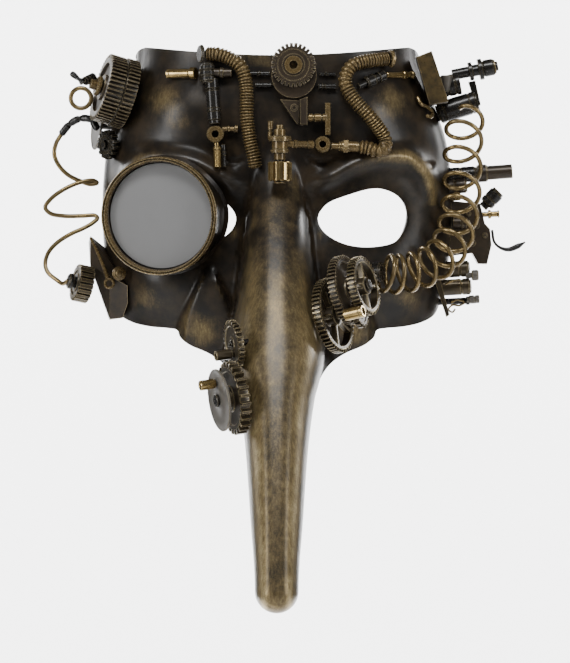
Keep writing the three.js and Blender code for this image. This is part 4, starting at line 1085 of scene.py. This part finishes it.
def build_jaw():
    place, axis = at(-94.9, 26.5, -33.4), (-0.93, -0.3, 0.2)
    pinion = wheel(20, 8, 9.5, 7.4, 3.05, rim=1.4, hub=4.6, dish=0.8, tooth=BROAD_TOOTH).placed(place, axis)
    piece("jaw_wheel", pinion, "worn_and_highlighted_gold", ["jaw_pinion"], "jaw_pinion_body")
    axle = turned([(2.6, 9.6), (3.5, 0.4), (4, 1.8), (3.4, 0.4)], -0.9).placed(place, axis)
    piece("jaw_spindle", axle, "black_plastic", ["jaw_axle"])
    strip = curve_points([at(-94.6, 16.4, -9.4), at(-91, 22.6, -16.4), at(-87.4, 28.8, -24.4),
                          at(-85.2, 33.2, -30)], 60)
    eye = ring_bar(1.5, 2.9, 0, 1.6, 0.4, 32).placed(at(-84.4, 34.2, -32.6), FRONT)
    lug = turned([(2, 1), (3.3, 0.8), (3.5, 1.6), (2.8, 0.9), (1.6, 0.5)])
    lug = lug.placed(at(-79.3, 36.6, -27.6), FRONT)
    piece("jaw_trim", tube(strip, np.linspace(0.7, 1.1, 60), 12) + eye + lug, "gold_paint", smooth_angle=60)


# ---------------------------------------------------------------- beak and cheek wheels

BEAK_AXIS = (-0.93, -0.33, -0.14)
BEAK_UPPER = at(-19.4, 107, -62.5)
BEAK_LOWER = at(-18.4, 114, -88.8)
CHEEK_AXIS = (0.88, -0.42, 0.21)
GREAT = at(27.6, 81, -49)
TRAIN = at(34.4, 82, -36.4)


def build_beak_wheels():
    upper = wheel(29, 10.2, 11.75, 3, 1.85, rim=1.4, hub=3.4, dish=0.35, tooth=THIN_TOOTH)
    upper += turned([(2.1, 1.2), (2.5, 8.3)], 2.5, hollow=(1.5, 3)).moved(0, -4.7)
    upper = upper.placed(BEAK_UPPER, BEAK_AXIS)
    piece("beak_wheel_upper", upper, "worn_and_highlighted_gold", ["beak_upper_gear"], "beak_upper_gear_body")
    axle = rooted(turned([(1.4, 23.6), (1.1, 1)], -20), BEAK_UPPER, BEAK_AXIS)
    piece("beak_spindle_upper", axle, "black_plastic", ["beak_upper_axle"])

    lower = wheel(27, 15.4, 18, 5, 2.65, rim=2, hub=6.4, dish=0.5, tooth=THIN_TOOTH)
    lower += ring_bar(2.65, 4.75, 4.5, 9.9, 0.2, 40)
    disc = lathe([(2.65, 9.6), (15.1, 9.6), (15.3, 9.8), (15.3, 10.6), (15.1, 10.8), (14.4, 10.8),
                  (14.2, 10.65), (4.6, 10.65), (4.4, 10.8), (2.65, 10.8)], 80, loop=True)
    piece("crank_disc", disc.placed(BEAK_LOWER, BEAK_AXIS), "grey_plastic", body="beak_crank_body")
    lower = lower.placed(BEAK_LOWER, BEAK_AXIS)
    piece("beak_wheel_lower", lower, "worn_and_highlighted_gold", ["beak_lower_gear"], "beak_crank_body")
    axle = rooted(turned([(2.2, 31.15), (3.2, 1.2)], -20), BEAK_LOWER, BEAK_AXIS)
    piece("beak_spindle_lower", axle, "black_plastic", ["beak_lower_axle"])
    pin = turned([(2.2, 0.8), (2.5, 7.2)], 11.15, hollow=(1.4, 3)).moved(0, 8.4)
    piece("crank_pin", pin.placed(BEAK_LOWER, BEAK_AXIS), "brass", ["beak_crank_pin"], "beak_crank_body")
    strut = rod(on(-23, -66, -1), on(-28.4, -77.5, 2), [(1, 6), (1.5, 1.4), (1, 8)])
    piece("beak_strut", strut, "black_plastic")


def build_cheek_wheels():
    toward = basis(CHEEK_AXIS) @ (TRAIN - GREAT)
    first = math.degrees(math.atan2(toward[1], toward[0])) - 36
    great = spoked(50, 17.3, 18.9, 4.4, 0.0, 15.7, 5.2, 5, 1.8, base=-2.2, first=first)
    great += turned([(3.4, 13.9)], -16)
    piece("great_wheel", rooted(great, GREAT, CHEEK_AXIS), "worn_and_highlighted_gold", ["cheek_great_wheel"])
    second = wheel(48, 15.8, 17.4, 4.2, 2.45, rim=2, hub=5, dish=0.7, base=-2.1, tooth=THIN_TOOTH)
    second = second.placed(TRAIN, CHEEK_AXIS)
    piece("second_wheel", second, "dark_bronze", ["cheek_second_wheel"], "cheek_train_body")
    third = spoked(42, 13.3, 14.9, 4, 2.45, 11.8, 4.4, 4, 1.9, base=7.4).placed(TRAIN, CHEEK_AXIS)
    piece("third_wheel", third, "worn_and_highlighted_gold", ["cheek_third_wheel"], "cheek_train_body")
    post = turned([(3, 8), (2.7, 0.4), (3, 1.65)], 2.45, hollow=(1.8, 3)).moved(-12.6, -13.2)
    piece("post", post.placed(TRAIN, CHEEK_AXIS), "brass", ["cheek_post"], "cheek_train_body")
    small = wheel(16, 5.8, 7.3, 3, 1, rim=1, hub=2.6, dish=0.4, base=3.5) + turned([(3, 2.05)], 2.45)
    small = small.moved(-1.5, -13).placed(TRAIN, CHEEK_AXIS)
    piece("small_wheel", small, "dark_bronze", ["cheek_small_wheel"], "cheek_train_body")
    axle = rooted(turned([(2, 32.8), (3, 1.1)], -21), TRAIN, CHEEK_AXIS)
    piece("train_spindle", axle, "black_plastic", ["cheek_axle"])


# ---------------------------------------------------------------- right temple and side

COIL_LINE = [
    at(95.5, 32, 55.5), at(93.8, 32, 39), at(93.2, 32, 19), at(91.6, 33.5, 1.5), at(87.5, 40, -12),
    at(79.8, 50.5, -21.5), at(69, 56, -26.5), at(58.5, 59.6, -28.3), at(51, 59.6, -27.5),
]


def build_coil():
    turns, radius = 12, 9.2
    run = np.linspace(0, 1, turns * 44)
    line = spline(COIL_LINE, run)
    heading = spline(COIL_LINE, run + 1e-4) - spline(COIL_LINE, run - 1e-4)
    heading[:, 1] = 0
    heading /= np.linalg.norm(heading, axis=1)[:, None]
    side = np.cross(heading, FRONT)
    lean = np.radians(46 - 26 * smooth_step(0.5, 0.8, run))[:, None]
    lift = np.cos(lean) * FRONT - np.sin(lean) * heading
    angle = 2 * math.pi * turns * run
    reach = radius * (0.35 + 0.65 * smooth_step(0, 0.05, np.minimum(run, 1 - run)))
    path = line + (reach * np.cos(angle))[:, None] * side + (reach * np.sin(angle))[:, None] * lift
    piece("wire_coil", tube(path, WIRE, 18), "gold_wire", ["coil_spring"], smooth_angle=70)
    cap = turned([(3.4, 0.6), (4.6, 0.8), (5, 4.4), (4.4, 0.8)]).placed(at(46.6, 57.4, -27.2), (0.9, -0.4, 0))
    piece("coil_end_cap", seated(cap, FRONT), "black_plastic")


def build_right_temple():
    tank = turned([(4.2, 0.9), (5.2, 0.6), (5.6, 2.4), (5.3, 0.5), (5.6, 13), (5.3, 0.5), (5.6, 2.6),
                   (4.8, 1)], hollow=(3, 1.2))
    piece("tank", rooted(tank, at(81, 17, 53.5), (22, -1, 6.8)), "black_plastic", ["temple_tank"])
    connector = turned([(2.8, 8.6), (4.7, 2), (3, 3), (5.4, 2.2), (3.9, 0.6), (4.3, 4.8), (3.9, 0.6),
                        (2.4, 1.8)], hollow=(1.4, 2))
    place, along = at(88.6, 20, 73), (22, 0, 4.4)
    piece("connector", connector.placed(place, along), "black_plastic", ["temple_connector"])
    piece("connector_tip", ring_bar(2.3, 3.5, 21.6, 22.4, 0.2).placed(place, along), "gold_paint")
    barrel = turned([(5, 1), (5.5, 3.4), (5.1, 0.6), (5.5, 3.4), (5.1, 0.6), (5.5, 2.2)])
    arm = plate([(96.8, 69.6), (100.4, 70.4), (103.2, 58), (100.8, 56.6)], 15.6, 18.4)
    piece("barrel_temple", barrel.placed(at(81.6, 20, 66.6), (11, 0, 2.2)) + arm, "black_plastic")
    cone = lathe([(0, 0), (1.2, 0), (1.5, 0.3), (2.1, 3.4), (2.7, 6.2), (3.1, 7.8), (2.9, 8.2), (2.2, 8.2),
                  (1.8, 6.6), (0, 6.6)], 32)
    piece("temple_cone", cone.placed(at(85.4, 26.6, 64.2), (0.04, 0.05, 1)), "grey_plastic")
    strip = curve_points([on(70.6, 60.9, 2.5), on(72.4, 57.6, 4.6), on(75.6, 56.2, 6), on(78.2, 53.6, 6.4),
                          on(77.4, 51.2, 6.8), on(75.4, 51.6, 6)], 60)
    piece("curled_strip", tube(strip, 1.0, 14), "gold_wire", smooth_angle=70)


def build_right_side():
    place, along = at(86.4, 13, 22.2), (33, 0, 2.4)
    pipe = turned([(3.7, 14.4), (3.5, 0.6), (4.2, 0.5), (4.5, 4.4), (4.2, 0.5), (3.6, 12.6)], hollow=(2.7, 3))
    piece("pipe_side", rooted(pipe, place, along), "dark_bronze", ["side_pipe"])
    sleeve = ring_bar(3.65, 4, 0.3, 6.4) + ring_bar(3.65, 4, 7.2, 13.8)
    piece("pipe_side_sleeve", sleeve.placed(place, along), "black_plastic")
    knob = turned([(2.4, 2.2), (3.4, 0.5), (3.9, 2.6), (3.6, 0.4), (3.9, 4.4), (3.4, 0.5), (3.3, 0.8)],
                  hollow=(2.2, 0.8))
    piece("throttle", knob.placed(at(104.6, 8, 6.4), (1, 0, 1)), "black_plastic", ["side_throttle"])
    lever = curve_points([at(109.3, 9, -5.4), at(110.4, 9, -11.2), at(113.5, 9, -14.2), at(117.6, 9, -15.1),
                          at(122, 9, -13.6), at(126, 9, -11.4)], 60)
    run = np.linspace(0, 1, 60)
    radii = 0.7 + 0.7 * smooth_step(0.3, 0.8, run) - 0.9 * smooth_step(0.82, 1, run)
    piece("lever_side", tube(lever, radii, 12), "black_plastic", ["side_lever"], smooth_angle=70)
    along = (1, -0.12, 0.05)
    for name, node, x, z, length in (("drum_upper", "side_drum_upper", 82.6, -25.6, 14.6),
                                     ("drum_lower", "side_drum_lower", 79, -34.8, 19)):
        drum = turned([(4.15, length - 4.4), (3.7, 0.6), (4.15, 3.8), (3.4, 0.6)], hollow=(1.6, 1.2))
        piece(name, rooted(drum, at(x, 12, z), along), "worn_and_highlighted_gold", [node])
    drain = rod(at(80, 10, -41.9), at(101, 10, -40.9), [(1.7, 16), (2.2, 1.8), (1.7, 3.2)])
    piece("drain", drain, "black_plastic", ["side_drain"])
    plugs = turned([(1.5, 3), (2.5, 0.4), (2.7, 2.8), (2.4, 0.4)]).placed(at(95.6, 16, -28.4), (1, 0, 0.03))
    plugs += turned([(1.5, 1), (2.1, 2.6), (1.6, 0.6), (2.1, 2)]).placed(at(96.4, 13, -40.6), (1, 0.1, 0.05))
    piece("drum_plugs", plugs, "grey_plastic")
    stub = turned([(1.3, 5), (2.2, 1.6), (1.5, 3.2), (1.9, 1)], hollow=(1, 1.4))
    piece("brass_stub", stub.placed(at(102, 13, 2.4), (1, 0, 0.05)), "brass")
    short = turned([(3.3, 0.6), (3.8, 4.6), (3.4, 0.8), (3.8, 4.8), (3.3, 0.6)])
    short = short.placed(at(85, 15, 16.4), (1, -0.1, 0.08))
    short += turned([(2.7, 4), (3.1, 1), (2.7, 2)]).placed(at(89.4, 17, -1.4), (1, -0.1, -0.05))
    piece("short_drums", short, "dark_bronze")
    bits = turned([(1.2, 3), (1.7, 1), (1.2, 3.4)]).placed(at(85.6, 16, 10.2), (1, 0, 0.1))
    bits += ring_bar(0.9, 2.1, 0, 1.2, 0.2, 28).placed(at(91, 17.5, 12), FRONT)
    piece("side_bits", bits, "gold_paint")
    loop = curve_points([at(88.4, 12.6, -42.2), at(91.2, 12.4, -40.8), at(95.2, 12, -42),
                         at(92.6, 11.8, -43.6), at(89, 12.4, -43.4), at(87, 13, -45.6), at(89, 13, -47),
                         at(90.4, 13, -45.4)], 110)
    piece("wire_loop", tube(loop, 0.5, 10), "gold_wire", smooth_angle=70)
    hook = curve_points([at(85.2, 20, -33), at(88, 20.4, -31.6), at(92, 20, -30.6), at(93.4, 19.6, -32.6)],
                        50)
    piece("wire_hook", tube(hook, 0.45, 10), "gold_wire", smooth_angle=70)
    for k, (x, z) in enumerate([(97, 3), (101, -3), (105.4, -8), (99, -12)]):
        boss = turned([(1.6 + 0.3 * (k % 2), 0.9), (0.9, 0.5)], 0, sides=20).placed(at(x, 14.8, z), FRONT)
        piece(f"block_boss_{k + 1}", boss, "dark_bronze")


# ---------------------------------------------------------------- frame nodes that are shown as they are

def finish_frame_nodes():
    slots = {row["node"]: row["material_slot"] for row in frame["record"]["subparts"]}
    for name, node in frame["nodes"].items():
        if node.hide_render:
            continue
        weld = node.modifiers.new("weld", "WELD")
        weld.merge_threshold = 0.00001
        bevel = node.modifiers.new("soft_edges", "BEVEL")
        bevel.width = 0.00035
        bevel.segments = 2
        bevel.limit_method = "ANGLE"
        bevel.angle_limit = math.radians(35)
        bevel.harden_normals = True
        node.data.materials.clear()
        node.data.materials.append(MATERIALS[NODE_FINISH.get(name, slots[name])])


add_camera()
add_stage()
add_studio()
build_shell()
build_goggle()
build_crown_gear()
build_crown_rods()
build_lever_group()
build_left_pipework()
build_right_pipework()
build_valve()
build_temple_gear()
build_temple_trim()
build_side_wire()
build_jaw()
build_beak_wheels()
build_cheek_wheels()
build_coil()
build_right_temple()
build_right_side()
finish_frame_nodes()
